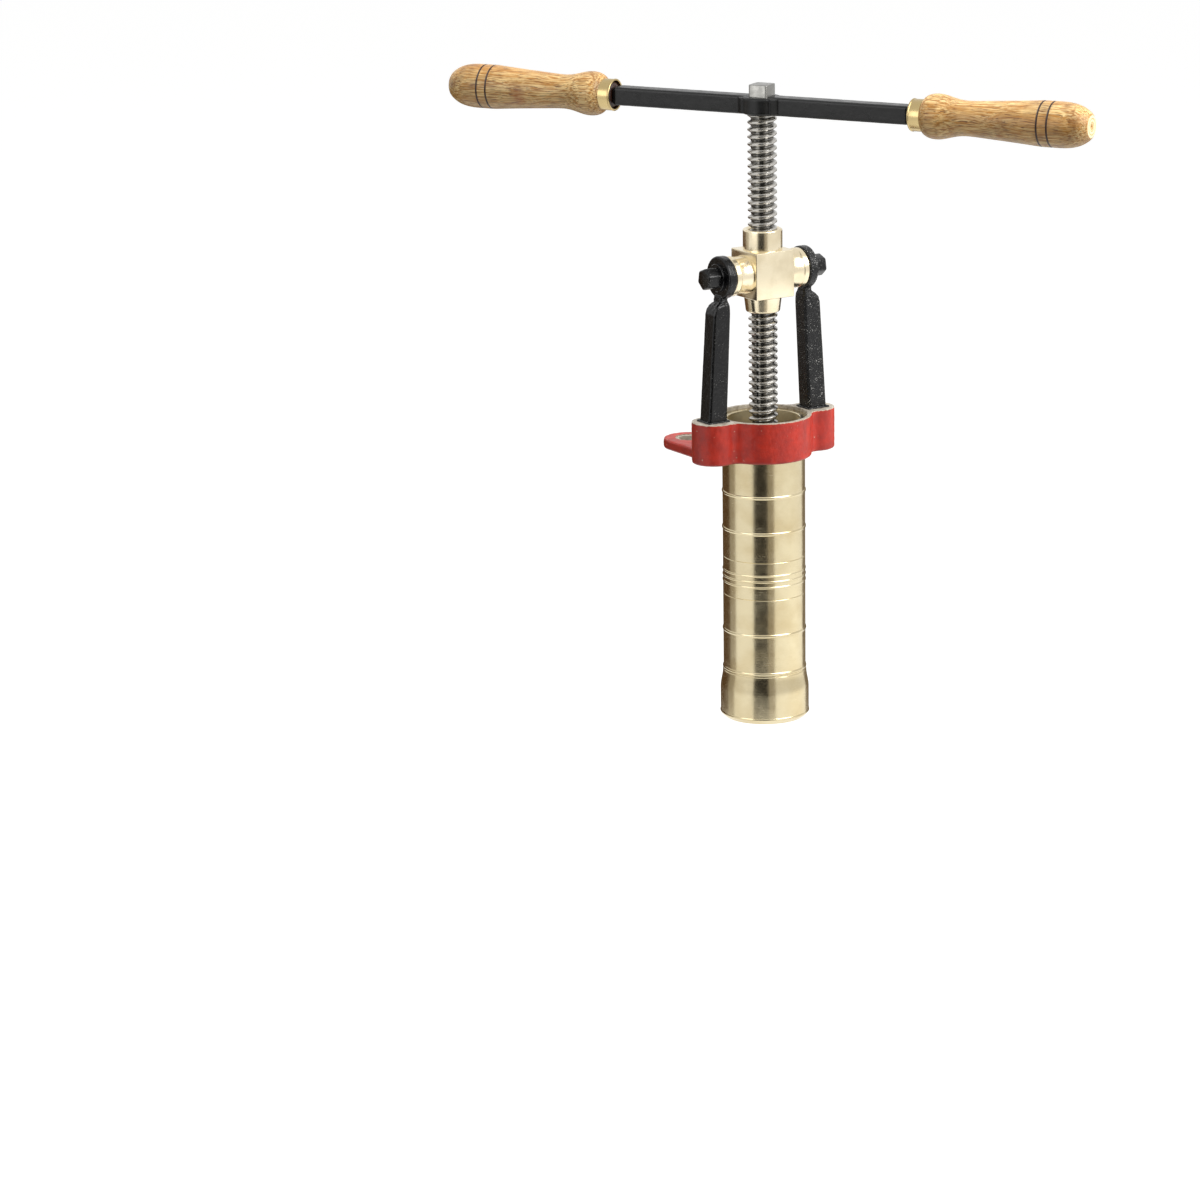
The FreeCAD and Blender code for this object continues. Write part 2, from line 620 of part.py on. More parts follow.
def nut_block():
    """Brass nut block with a boss above and below and a trunnion on either side."""
    body = new_body("nut_block")
    block = sketch_on(body, "Block", "XY_Plane")
    rectangle(block, size.NutLong, size.NutWide)
    pad(body, "BlockPad", block, size.NutHigh, both=True)
    rounded(body, "BlockEdges", size.NutEdge, lambda edge: True)
    bosses = sketch_on(body, "Bosses", "XZ_Plane")
    low, high = size.NutHigh / 2 + size.LowerBossHigh, size.NutHigh / 2 + size.UpperBossHigh
    outline(bosses, ((ZERO, -low), (size.LowerBoss / 2 - size.NutEdge, -low, size.NutEdge),
                     (size.LowerBoss / 2, -low + size.NutEdge), (size.LowerBoss / 2, ZERO),
                     (size.UpperBoss / 2, ZERO),
                     (size.UpperBoss / 2, high - size.NutEdge, size.NutEdge),
                     (size.UpperBoss / 2 - size.NutEdge, high), (ZERO, high)))
    spin(body, "TurnedBosses", bosses)
    trunnion = sketch_on(body, "Trunnion", "XY_Plane")
    neck, flange = size.TrunnionNeck / 2, size.TrunnionFlange / 2
    inside = trunnion_end - size.TrunnionFlangeThick
    root = size.NutLong / 2
    swell = (inside - root) / 2
    outline(trunnion, ((ZERO, ZERO), (root, ZERO), (trunnion_end, ZERO), (trunnion_end, flange),
                       (inside, flange), (inside - swell, neck), (root, flange), (ZERO, flange)))
    turned = body.newObject("PartDesign::Revolution", "nut_blockTurnedTrunnion")
    turned.Profile = trunnion
    turned.ReferenceAxis = (trunnion, ["H_Axis"])
    turned.Angle = 360
    doc.recompute()
    mirror(body, "OtherTrunnion", [turned], "YZ_Plane")
    through = sketch_on(body, "ScrewBore", "XY_Plane", lift=high)
    circle(through, ZERO, ZERO, screw_bore)
    pocket(body, "ScrewBorePocket", through)
    for name, side, up in (("Left", -1, True), ("Right", 1, False)):
        bolt = sketch_on(body, name + "PivotHole", "YZ_Plane", lift=trunnion_end * side)
        circle(bolt, ZERO, ZERO, size.PivotShank)
        pocket(body, name + "PivotHolePocket", bolt, size.PivotDeep, up=up)
    place(body, z=size.PivotUp)


# ---------------------------------------------------------------- arms

def arm(label, side):
    """Cast arm: a leaning square post with a round eye for the pivot bolt and a tenon below."""
    body = new_body(label)
    levels = ((size.CollarHigh, wing_reach, size.ArmFootLong, size.ArmFootWide),
              (size.ArmMidUp, wing_reach - size.ArmMidIn, size.ArmMidLong, size.ArmMidWide),
              (size.PivotUp - size.EyeWide * NECK_DROP, eye_middle, size.EyeThick,
               size.EyeWide * NECK_WIDTH))
    sketches = []
    for number, (high, reach, long, wide) in enumerate(levels):
        level = sketch_on(body, f"Level{number}", "XY_Plane", lift=high)
        x, half, y, round_in = reach * side, long / 2, wide / 2, size.ArmCorner
        outline(level, ((x - half + round_in, -y), (x + half - round_in, -y, round_in),
                        (x + half, -y + round_in), (x + half, y - round_in, round_in),
                        (x + half - round_in, y), (x - half + round_in, y, round_in),
                        (x - half, y - round_in), (x - half, -y + round_in, round_in)))
        sketches.append(level)
    post = body.newObject("PartDesign::AdditiveLoft", label + "Post")
    post.Profile = sketches[0]
    post.Sections = sketches[1:]
    post.Ruled = True
    eye = sketch_on(body, "Eye", "YZ_Plane", lift=eye_middle * side)
    circle(eye, ZERO, size.PivotUp, size.EyeWide)
    pad(body, "EyePad", eye, size.EyeThick, both=True)
    hole = sketch_on(body, "EyeHole", "YZ_Plane", lift=eye_middle * side)
    circle(hole, ZERO, size.PivotUp, size.PivotShank + size.PivotFit * 2)
    pocket(body, "EyeHolePocket", hole, size.EyeThick * THROUGH, both=True)
    tenon = sketch_on(body, "Tenon", "XY_Plane", lift=size.CollarHigh)
    circle(tenon, wing_reach * side, ZERO, size.TenonWide)
    pad(body, "TenonPad", tenon, size.CollarHigh - size.FootPocketDeep + size.FootWasherThick
        + size.FootNutThick, down=True)
    place(body)


def lone_solids(label, builders):
    """A node that is a group of like solids, each a body of its own joined by a compound."""
    group = doc.addObject("Part::Compound", "Group_" + label)
    group.Label = label
    group.Links = builders
    for piece in builders:
        SUB_PARTS.remove(piece)
    SUB_PARTS.append(group)
    return group


def pivot_bolt(side):
    """Bolt through an arm's eye into a trunnion."""
    body = new_body("pivot_bolt_" + ("left" if side < 0 else "right"))
    face = size.EyeInside + size.EyeThick + size.PivotWasherThick
    deep = face - trunnion_end + size.PivotDeep
    shank = sketch_on(body, "Shank", "YZ_Plane", lift=face * side)
    circle(shank, ZERO, ZERO, size.PivotShank)
    pad(body, "ShankPad", shank, deep, down=side > 0)
    head = sketch_on(body, "Head", "YZ_Plane", lift=face * side)
    circle(head, ZERO, ZERO, size.PivotHead)
    pad(body, "HeadPad", head, size.PivotHeadThick, down=side < 0)
    far = (face.number + size.PivotHeadThick.number) * side
    rounded(body, "HeadEdge", size.NutEdge, lambda edge: abs(edge.CenterOfMass.x - far) < NEAR
            and edge.BoundBox.XLength < NEAR)
    place(body, z=size.PivotUp)
    return body


def pivot_washer(side):
    """Washer between a pivot bolt's head and the arm's eye."""
    body = new_body("pivot_washer_" + ("left" if side < 0 else "right"))
    face = sketch_on(body, "Face", "YZ_Plane", lift=(size.EyeInside + size.EyeThick) * side)
    circle(face, ZERO, ZERO, size.PivotWasher)
    circle(face, ZERO, ZERO, size.PivotShank + size.PivotFit * 2)
    pad(body, "Pad", face, size.PivotWasherThick, down=side < 0)
    place(body, z=size.PivotUp)
    return body


def foot_nut(side):
    """Nut on the tenon of an arm, in the pocket under the wing."""
    body = new_body("foot_nut_" + ("left" if side < 0 else "right"))
    face = sketch_on(body, "Face", "XY_Plane")
    hexagon(face, size.FootNut)
    circle(face, ZERO, ZERO, size.TenonWide)
    pad(body, "Pad", face, size.FootNutThick)
    place(body, x=wing_reach * side,
          z=size.FootPocketDeep - size.FootWasherThick - size.FootNutThick)
    return body


def foot_washer(side):
    """Washer above a foot nut."""
    name = "foot_washer_" + ("left" if side < 0 else "right")
    return ring_body(name, size.FootWasher, size.TenonWide + size.TenonFit * 2, size.FootWasherThick,
                     x=wing_reach * side, z=size.FootPocketDeep - size.FootWasherThick)


# ---------------------------------------------------------------- crank, ferrules and grips

def crank_bar():
    """Forged crank: a square bar with a round eye, tapered before each ferrule, and two spikes."""
    body = new_body("crank_bar")
    reach, deep = size.BarReach, size.BarDeep / 2
    bar = sketch_on(body, "Bar", "XY_Plane")
    shoulder = reach - size.BarTaper
    outline(bar, ((-reach, -(deep * BAR_NECK)), (-shoulder, -deep), (shoulder, -deep),
                  (reach, -(deep * BAR_NECK)), (reach, deep * BAR_NECK), (shoulder, deep),
                  (-shoulder, deep), (-reach, deep * BAR_NECK)))
    pad(body, "BarPad", bar, size.BarHigh, both=True)
    rounded(body, "BarEdges", size.BarEdge, lambda edge: along(edge, Vector(1, 0, 0)))
    hub = sketch_on(body, "Hub", "XY_Plane")
    circle(hub, ZERO, ZERO, size.HubWide)
    pad(body, "HubPad", hub, size.HubHigh, both=True)
    spikes = sketch_on(body, "Spikes", "YZ_Plane")
    circle(spikes, ZERO, ZERO, size.SpikeWide)
    pad(body, "SpikesPad", spikes, (reach + size.SpikeLong) * 2, both=True)
    hole = sketch_on(body, "TangHole", "XY_Plane")
    rectangle(hole, size.TangSquare + size.TangFit * 2, size.TangSquare + size.TangFit * 2)
    pocket(body, "TangHolePocket", hole, size.BarHigh * THROUGH, both=True)
    place(body, z=crank_middle_up, turn=size.CrankAngle)


def grip(label, side):
    """Turned wooden grip: a bulb by the ferrule, a waist, a swell and a parted end."""
    body = new_body(label)
    start = size.FerruleLong
    end = start + size.GripLong
    inner = size.SpikeWide / 2 + size.SpikeFit
    neck = size.FerruleWide / 2 - size.FerruleWall - size.FerruleFit
    section = sketch_on(body, "Section", "XY_Plane")
    outline(section, ((ZERO, inner), (size.SpikeLong, inner), (size.SpikeLong, ZERO), (end, ZERO),
                      (end, size.GripTip / 2, size.GripEndRound),
                      (start + size.GripSwellAt, size.GripSwell / 2),
                      (start + size.GripWaistAt, size.GripWaist / 2),
                      (start + size.GripBulbAt, size.GripBulb / 2),
                      (start, size.FerruleWide / 2 - size.FerruleLip), (start, neck), (ZERO, neck)))
    turned = body.newObject("PartDesign::Revolution", label + "Turned")
    turned.Profile = section
    turned.ReferenceAxis = (section, ["H_Axis"])
    turned.Angle = 360
    place_on_crank(body, side)


def ferrule(label, side):
    """Brass ferrule with a rolled edge that keeps a grip from splitting."""
    body = new_body(label)
    outside = size.FerruleWide / 2
    bore = outside - size.FerruleWall
    lip = size.FerruleLip * 2
    section = sketch_on(body, "Section", "XY_Plane")
    outline(section, ((ZERO, bore), (ZERO, outside + size.FerruleLip),
                      (lip, outside + size.FerruleLip), (lip, outside),
                      (size.FerruleLong, outside), (size.FerruleLong, bore)))
    turned = body.newObject("PartDesign::Revolution", label + "Turned")
    turned.Profile = section
    turned.ReferenceAxis = (section, ["H_Axis"])
    turned.Angle = 360
    place_on_crank(body, side)


def place_on_crank(body, side):
    """Stand a piece that runs along +X at one end of the crank bar."""
    turn = size.CrankAngle if side > 0 else size.CrankAngle + 180
    angle = size.CrankAngle.text
    reach = size.BarReach * side
    body.Placement.Rotation = FreeCAD.Rotation(UP, turn.number)
    bind(body, "Placement.Rotation.Angle", turn)
    body.setExpression("Placement.Base.x", f"{reach.text} * cos({angle} * 1 deg)")
    body.setExpression("Placement.Base.y", f"{reach.text} * sin({angle} * 1 deg) - Sizes.LugSetback")
    bind(body, "Placement.Base.z", crank_middle_up)


# ---------------------------------------------------------------- the assembly

mounting_collar()
barrel()
end_ring_nut()
die_plate()
ring_body("die_gasket", size.EndThread - size.RingFit, size.BarrelBore, size.GasketThick,
          z=-(size.BarrelEnd + size.GasketThick))
press_screw()
piston()
piston_seal_rings()
ring_body("thrust_washer", size.ThrustWide, size.JournalWide + size.RunningFit * 2, size.ThrustThick,
          z=-size.PistonTop)
ring_body("retaining_washer", size.RetainerWide, size.BoltWide + size.RunningFit * 2,
          size.RetainerThick,
          z=-(piston_foot - size.PocketDeep + size.RetainerPlay + size.RetainerThick))
piston_retaining_bolt()
nut_block()
arm("left_arm", -1)
arm("right_arm", 1)
lone_solids("pivot_bolts", [pivot_bolt(-1), pivot_bolt(1)])
lone_solids("pivot_washers", [pivot_washer(-1), pivot_washer(1)])
lone_solids("arm_foot_nuts", [foot_nut(-1), foot_nut(1)])
lone_solids("arm_foot_washers", [foot_washer(-1), foot_washer(1)])
crank_bar()
for number, hand in ((-1, "left"), (1, "right")):
    ferrule(hand + "_ferrule", number)
    grip(hand + "_grip", number)

doc.recompute()
for item in doc.Objects:
    if "Invalid" in item.State or "Error" in item.State:
        raise RuntimeError(f"{item.Label} did not rebuild: {item.State}")
for item in SUB_PARTS:
    if item.Shape.isNull() or not item.Shape.isValid() or not item.Shape.Solids:
        raise RuntimeError(f"{item.Label} has no sound shape")

os.makedirs("parts", exist_ok=True)
for item in SUB_PARTS:
    item.Shape.exportStep(f"parts/{item.Label}.step")
    print(item.Label, "solids", len(item.Shape.Solids), "volume", round(item.Shape.Volume, 1))
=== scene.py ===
"""Looks of the bench-mounted pasta extruder, built round its packed frame.

Everything is in metres in the frame's own axes: +X along the collar, +Y over the bench, +Z up.
The bench face is z = 0 and the origin is midway between the two lug bolts.
"""
import json
import math

import bmesh
import bpy
from mathutils import Matrix, Vector, noise


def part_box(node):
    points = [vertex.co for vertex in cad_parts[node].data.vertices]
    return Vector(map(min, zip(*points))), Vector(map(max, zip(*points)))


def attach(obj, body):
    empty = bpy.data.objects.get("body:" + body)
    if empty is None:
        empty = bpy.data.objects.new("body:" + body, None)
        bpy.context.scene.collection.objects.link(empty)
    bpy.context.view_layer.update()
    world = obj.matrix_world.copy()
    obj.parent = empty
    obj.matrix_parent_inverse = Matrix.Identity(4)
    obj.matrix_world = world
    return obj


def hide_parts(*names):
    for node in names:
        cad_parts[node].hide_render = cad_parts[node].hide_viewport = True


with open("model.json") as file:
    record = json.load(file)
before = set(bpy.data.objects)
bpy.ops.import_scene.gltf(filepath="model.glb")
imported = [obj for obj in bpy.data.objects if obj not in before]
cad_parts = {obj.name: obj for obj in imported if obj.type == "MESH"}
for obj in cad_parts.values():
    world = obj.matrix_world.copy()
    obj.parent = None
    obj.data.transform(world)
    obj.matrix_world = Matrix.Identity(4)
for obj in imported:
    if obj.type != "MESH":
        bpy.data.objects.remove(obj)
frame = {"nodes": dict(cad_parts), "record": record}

bl_info = {
    "name": "Bench pasta extruder",
    "version": (1, 0, 0),
    "blender": (4, 5, 0),
    "location": "View3D > Sidebar > Extruder",
    "description": "Builds the finished pieces of a bench-mounted pasta extruder round its frame",
    "category": "Object",
}

MM = 0.001
TAU = math.tau
# Points nearer than this are one: after a cut, round a turned piece and along the thread.
WELD, LATHE_WELD, THREAD_WELD = 0.001 * MM, 0.002 * MM, 0.003 * MM
# How far a face's middle may be from a level or a wall and still count as on it.
NEAR = 0.05 * MM
SIDES = ((1, "right"), (-1, "left"))
# The studio floor, 0.46 m under the face of the bench.
FLOOR_UP = -0.46
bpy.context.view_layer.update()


def middle(node):
    """The middle of a CAD node."""
    low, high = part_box(node)
    return (low + high) / 2


AXIS = Vector((middle("barrel").x, middle("barrel").y, 0))
CRANK_DIRECTION = (middle("right_ferrule") - middle("left_ferrule")).normalized()
CRANK_TURN = math.atan2(CRANK_DIRECTION.y, CRANK_DIRECTION.x)
CRANK_UP = middle("right_ferrule").z
PIVOT_UP = middle("pivot_bolts").z
COLLAR_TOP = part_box("mounting_collar")[1].z
BARREL_LOW, BARREL_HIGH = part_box("barrel")
RING_LOW, RING_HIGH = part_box("end_ring_nut")
SCREW_LOW, SCREW_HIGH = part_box("press_screw")
NUT_LOW, NUT_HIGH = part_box("nut_block")


def lug_bolts():
    """The spacing and hole radius of the lug bolts, in millimetres, from the record."""
    mounts = frame["record"]["mounts"]
    return next(mount["dims"] for mount in mounts if mount["name"] == "bench_bolts")


# ---------------------------------------------------------------- settings

def length(title, millimetres, text):
    """A length that a user may change."""
    return bpy.props.FloatProperty(
        name=title, description=text, default=millimetres * MM, unit="LENGTH", precision=5)


def linear(code):
    """The linear colour of an sRGB hex code."""
    channels = [int(code[i:i + 2], 16) / 255 for i in (1, 3, 5)]
    return tuple(c / 12.92 if c <= 0.04045 else ((c + 0.055) / 1.055) ** 2.4 for c in channels)


def colour(title, code, text):
    """A colour that a user may change."""
    return bpy.props.FloatVectorProperty(
        name=title, description=text, default=linear(code), subtype="COLOR", min=0, max=1)


class CollarSizes(bpy.types.PropertyGroup):
    """Sizes of the cast collar and of the arms on it."""

    wall: length("Wall", 4.6, "Casting round the barrel")
    wing_reach: length("Wing reach", 41.0, "Arm foot from the screw")
    wing_radius: length("Wing radius", 15.0, "Round end of a wing")
    tenon: length("Tenon hole", 6.2, "Radius of the hole for an arm's tenon")
    pocket: length("Nut pocket", 12.0, "Radius and depth of the pocket under a wing")
    hollow: length("Hollow", 7.0, "Fillet between the wings and the round middle")
    lug_radius: length("Lug radius", 17.5, "Round end of a lug")
    lug_thick: length("Lug thickness", 7.0, "Thickness of a lug")
    spot_radius: length("Spot face", 9.5, "Machined ring round a lug's bolt hole")
    spot_deep: length("Spot depth", 0.6, "Depth of that machined ring")
    arm_top: length("Arm top", 36.5, "Top of an arm's post from the screw")
    arm_edge: length("Arm edge", 1.3, "Chamfer along an arm")
    eye_inside: length("Eye place", 30.1, "Inner face of an eye from the screw")
    eye_radius: length("Eye radius", 14.6, "Round eye at the top of an arm")
    eye_thick: length("Eye thickness", 6.4, "Thickness of the eye")
    cast_grain: length("Cast grain", 0.16, "Height of the casting's bumps")


class BarrelSizes(bpy.types.PropertyGroup):
    """Sizes of the turned brass pieces."""

    radius: length("Radius", 28.5, "Outside of the barrel")
    bore: length("Bore", 25.0, "Bore of the barrel")
    flange_thick: length("Flange", 5.0, "Thickness of the seating flange")
    bead_proud: length("Bead height", 0.55, "Height of a turned bead")
    bead_half: length("Bead width", 1.15, "Half the width of a bead")
    fine_half: length("Fine bead width", 0.8, "Half the width of a fine bead")
    first_bead: length("First bead", 24.5, "First bead below the bench")
    second_bead: length("Second bead", 50.0, "Second bead below the bench")
    fine_beads: length("Fine beads", 79.7, "First of the three fine beads below the bench")
    fine_pitch: length("Fine bead spacing", 4.0, "Spacing of the fine beads")
    fourth_bead: length("Fourth bead", 122.3, "Fourth bead below the bench")
    fifth_bead: length("Fifth bead", 149.6, "Fifth bead below the bench")
    upper_scribe: length("Upper line", 70.3, "Upper scribed line below the bench")
    lower_scribe: length("Lower line", 96.7, "Lower scribed line below the bench")
    thread: length("Thread", 27.2, "Radius of the threaded foot of the barrel")
    ring_bore: length("Ring bore", 27.5, "Radius of the ring nut round that thread")
    ring_lip: length("Ring lip", 4.0, "Thickness of the lip under the die")
    ring_flare: length("Ring flare", 13.0, "Height of the ring nut's flare")
    ring_top_radius: length("Ring top", 29.0, "Ring nut where it meets the barrel")
    ring_chamfer: length("Ring foot", 3.0, "Chamfer at the foot of the ring nut")
    ring_opening: length("Ring opening", 23.0, "Opening under the die")


class ScrewSizes(bpy.types.PropertyGroup):
    """Sizes of the forcing screw, the nut block and the pivot bolts."""

    major: length("Major radius", 10.0, "Crest of the thread")
    minor: length("Minor radius", 7.7, "Root of the thread")
    pitch: length("Pitch", 5.0, "Pitch of the thread")
    plain: length("Plain ends", 0.8, "Plain length at either end of the thread")
    tang: length("Tang", 14.0, "Square tang across its flats")
    shoulder: length("Shoulder", 235.9, "Seat of the crank above the bench")
    journal: length("Journal", 6.0, "Radius of the journal in the piston")
    block: length("Block", 31.0, "Nut block, square in plan")
    block_high: length("Block height", 32.4, "Height of the nut block")
    block_edge: length("Block edge", 0.7, "Rounding of the block")
    upper_boss: length("Upper boss", 13.5, "Radius of the boss above the block")
    lower_boss: length("Lower boss", 13.0, "Radius of the boss under the block")
    nut_bore: length("Nut bore", 10.3, "Radius of the bore round the screw")
    neck: length("Trunnion neck", 12.7, "Radius of a trunnion's neck")
    flange: length("Trunnion flange", 13.7, "Radius of a trunnion's flange")
    flange_thick: length("Flange thickness", 4.2, "Thickness of a trunnion's flange")
    bolt_head: length("Bolt head", 7.8, "Pivot bolt's head, middle to corner")
    bolt_shank: length("Bolt shank", 5.0, "Radius of a pivot bolt's shank")
    washer: length("Washer", 9.5, "Radius of a pivot bolt's washer")
    washer_hole: length("Washer hole", 5.2, "Radius of the washer's hole")
    washer_thick: length("Washer thickness", 1.8, "Thickness of the washer")


class CrankSizes(bpy.types.PropertyGroup):
    """Sizes of the crank and its grips."""

    bar: length("Bar", 12.6, "Square bar across its flats")
    bar_edge: length("Bar edge", 1.5, "Rounding of the bar")
    reach: length("Reach", 111.5, "Ferrule from the screw")
    hub: length("Eye radius", 13.3, "Round eye of the bar")
    hub_high: length("Eye height", 11.8, "Height of the eye")
    ferrule_radius: length("Ferrule radius", 10.8, "Outside of a ferrule")
    ferrule_long: length("Ferrule length", 9.0, "Length of a ferrule")
    grip_long: length("Grip length", 119.0, "Grip beyond its ferrule")
    bulb: length("Bulb radius", 15.3, "Bulb beside the ferrule")
    waist: length("Waist radius", 11.7, "Waist of a grip")
    swell: length("Swell radius", 15.35, "Swell of a grip")
    tip: length("Tip radius", 7.5, "Parted end of a grip")
    first_groove: length("First groove", 85.5, "First burnt groove from the ferrule")
    second_groove: length("Second groove", 92.7, "Second burnt groove from the ferrule")


class FinishColours(bpy.types.PropertyGroup):
    """Colours of the finishes."""

    enamel: colour("Enamel", "#B72A17", "Red enamel")
    enamel_dark: colour("Enamel shade", "#9A2013", "Thicker, darker enamel")
    enamel_chip: colour("Enamel chip", "#CEBCA6", "Primer that shows where enamel chipped")
    bare_iron: colour("Bare iron", "#C9C2B4", "Machined cast iron")
    iron_stain: colour("Iron stain", "#958676", "Oil stain on machined iron")
    turned_brass: colour("Turned brass", "#D3C6A4", "Brass straight from the lathe")
    nut_brass: colour("Nut brass", "#EFE2C4", "Machined and polished brass")
    ferrule_brass: colour("Ferrule brass", "#BFAA7A", "Spun brass that hands have dulled")
    tarnish: colour("Tarnish", "#B39C6C", "Brass that has been handled")
    bronze: colour("Bronze", "#B98A52", "Turned bronze")
    steel: colour("Steel", "#BDBAB4", "Machined thread")
    bright_steel: colour("Bright steel", "#8F8E8A", "Bare milled steel")
    # Dark colour of the thread's roots: oil there, and painted shade of the recess.
    grease_shade: colour("Grease", "#181716", "Dark grease in the thread")
    zinc: colour("Zinc", "#B9BBBC", "Zinc-plated steel")
    black: colour("Black", "#070708", "Black gloss paint")
    iron_chip: colour("Iron chip", "#B5B3AF", "Bare iron that shows where paint chipped")
    bar_black: colour("Forged black", "#101010", "Forge scale under thin paint")
    rubber: colour("Rubber", "#141414", "Black seal rubber")
    wood_light: colour("Light wood", "#E8C88C", "Early wood")
    wood_mid: colour("Wood", "#B07A36", "Varnished wood")
    wood_dark: colour("Dark wood", "#5E3716", "Late wood and pores")
    burnt: colour("Burnt groove", "#2C150A", "Groove burnt with a wire")
    resin: colour("Resin spot", "#9A4A20", "Reddish spot in the left grip")
    end_grain: colour("End grain", "#F0D9AE", "Bare end grain")
    floor: colour("Floor", "#959593", "Studio floor as the lamps see it")


SETTINGS = {
    "extruder_collar": CollarSizes,
    "extruder_barrel": BarrelSizes,
    "extruder_screw": ScrewSizes,
    "extruder_crank": CrankSizes,
    "extruder_colours": FinishColours,
}


def settings(name):
    """One group of settings of the open scene."""
    return getattr(bpy.context.scene, "extruder_" + name)


# ---------------------------------------------------------------- materials

# Numbered inputs are those of the Mix node, 0 the share and 6 and 7 the colours, and of the Map
# Range node, 0 the value, 1 and 2 the range it comes from, 3 and 4 the range it goes to.

def add(tree, kind, inputs=None, **attributes):
    """Add a node and its inputs: a value, a socket, or a node for its first live output."""
    made = tree.nodes.new("ShaderNode" + kind)
    for name, value in attributes.items():
        setattr(made, name, value)
    for name, value in (inputs or {}).items():
        socket = made.inputs[name]
        if isinstance(value, bpy.types.Node):
            value = next(output for output in value.outputs if output.enabled)
        if isinstance(value, bpy.types.NodeSocket):
            tree.links.new(value, socket)
        elif socket.type == "RGBA":
            socket.default_value = (*value[:3], 1.0)
        else:
            socket.default_value = value
    return made


def blank(name):
    """An empty material and its node tree."""
    made = bpy.data.materials.new(name)
    made.use_nodes = True
    made.node_tree.nodes.clear()
    return made, made.node_tree


def red_enamel():
    """Enamel brushed over a sand casting: glossy, mottled, chipped pale along the top edge."""
    made, tree = blank("red_enamel")
    tints = settings("colours")
    where = add(tree, "TexCoord").outputs["Object"]
    cloud = add(tree, "TexNoise", {"Vector": where, "Scale": 1 / (9 * MM), "Detail": 4.0})
    base = add(tree, "Mix", {0: add(tree, "MapRange", {0: cloud, 1: 0.35, 2: 0.65}),
                             6: tints.enamel_dark, 7: tints.enamel}, data_type="RGBA")
    speck = add(tree, "TexNoise", {"Vector": where, "Scale": 1 / (1.9 * MM), "Detail": 2.0})
    speck = add(tree, "MapRange", {0: speck, 1: 0.735, 2: 0.755, 4: 0.8})
    # Wear starts 1.3 mm under the machined top and is ragged on a scale of 1.6 mm.
    edge = add(tree, "MapRange", {0: add(tree, "SeparateXYZ", {0: where}).outputs["Z"],
                                  1: COLLAR_TOP - 1.3 * MM, 2: COLLAR_TOP - 0.1 * MM})
    ragged = add(tree, "TexNoise", {"Vector": where, "Scale": 1 / (1.6 * MM), "Detail": 3.0})
    worn = add(tree, "MapRange", {0: add(tree, "Math", {0: edge, 1: ragged}, operation="ADD"),
                                  1: 1.22, 2: 1.36})
    chipped = add(tree, "Math", {0: worn, 1: speck}, operation="MAXIMUM")
    base = add(tree, "Mix", {0: chipped, 6: base, 7: tints.enamel_chip}, data_type="RGBA")
    skin = None
    for size, depth, strength in ((2.4 * MM, 0.35 * MM, 0.55), (0.7 * MM, 0.14 * MM, 0.8)):
        sand = add(tree, "TexNoise", {"Vector": where, "Scale": 1 / size, "Detail": 3.0})
        inputs = {"Height": sand, "Distance": depth, "Strength": strength}
        skin = add(tree, "Bump", inputs | ({"Normal": skin} if skin else {}))
    rough = add(tree, "TexNoise", {"Vector": where, "Scale": 1 / (5 * MM), "Detail": 3.0})
    add(tree, "OutputMaterial", {"Surface": add(tree, "BsdfPrincipled", {
        "Base Color": base, "IOR": 1.5, "Coat Weight": 0.12, "Coat Roughness": 0.2,
        "Roughness": add(tree, "MapRange", {0: rough, 1: 0.3, 2: 0.7, 3: 0.38, 4: 0.52}),
        "Normal": skin})})
    return made


def bare_iron():
    """Machined grey iron: dull, with faint tool marks and paint crumbs."""
    made, tree = blank("machined_iron")
    tints = settings("colours")
    where = add(tree, "TexCoord").outputs["Object"]
    stain = add(tree, "TexNoise", {"Vector": where, "Scale": 1 / (3 * MM), "Detail": 5.0})
    base = add(tree, "Mix", {0: add(tree, "MapRange", {0: stain, 1: 0.4, 2: 0.75}),
                             6: tints.bare_iron, 7: tints.iron_stain}, data_type="RGBA")
    marks = add(tree, "TexNoise", {"Vector": where, "Scale": 1 / (0.5 * MM), "Detail": 3.0})
    skin = add(tree, "Bump", {"Height": marks, "Distance": 0.08 * MM, "Strength": 0.6})
    add(tree, "OutputMaterial", {"Surface": add(tree, "BsdfPrincipled", {
        "Base Color": base, "Metallic": 0.4, "Roughness": 0.6, "Normal": skin})})
    return made


def brass(name, tint, rough, line=None):
    """Brass: fine turning lines along one axis, or none, and patches that handling has dulled."""
    made, tree = blank(name)
    where = add(tree, "TexCoord").outputs["Object"]
    patch = add(tree, "TexNoise", {"Vector": where, "Scale": 1 / (22 * MM), "Detail": 5.0})
    base = add(tree, "Mix", {0: add(tree, "MapRange", {0: patch, 1: 0.42, 2: 0.75, 4: 0.5}),
                             6: tint, 7: settings("colours").tarnish}, data_type="RGBA")
    smear = add(tree, "TexNoise", {"Vector": where, "Scale": 1 / (7 * MM), "Detail": 4.0})
    roughness = add(tree, "MapRange", {0: smear, 1: 0.3, 2: 0.7, 3: rough * 0.85, 4: rough * 1.2})
    if line:
        # Real turning lines are 0.1 mm apart; these are 0.45 mm so that they show.
        marks = add(tree, "TexNoise", {
            "W": add(tree, "SeparateXYZ", {0: where}).outputs[line],
            "Scale": 1 / (0.45 * MM), "Detail": 6.0}, noise_dimensions="1D")
        ridges = add(tree, "MapRange", {0: marks, 1: 0.3, 2: 0.7, 3: -0.04, 4: 0.05})
        roughness = add(tree, "Math", {0: roughness, 1: ridges}, operation="ADD")
    else:
        marks = add(tree, "TexNoise", {"Vector": where, "Scale": 1 / (1.6 * MM), "Detail": 4.0})
    skin = add(tree, "Bump", {"Height": marks, "Distance": 0.006 * MM, "Strength": 0.5})
    add(tree, "OutputMaterial", {"Surface": add(tree, "BsdfPrincipled", {
        "Base Color": base, "Metallic": 1.0, "Roughness": roughness, "Normal": skin})})
    return made


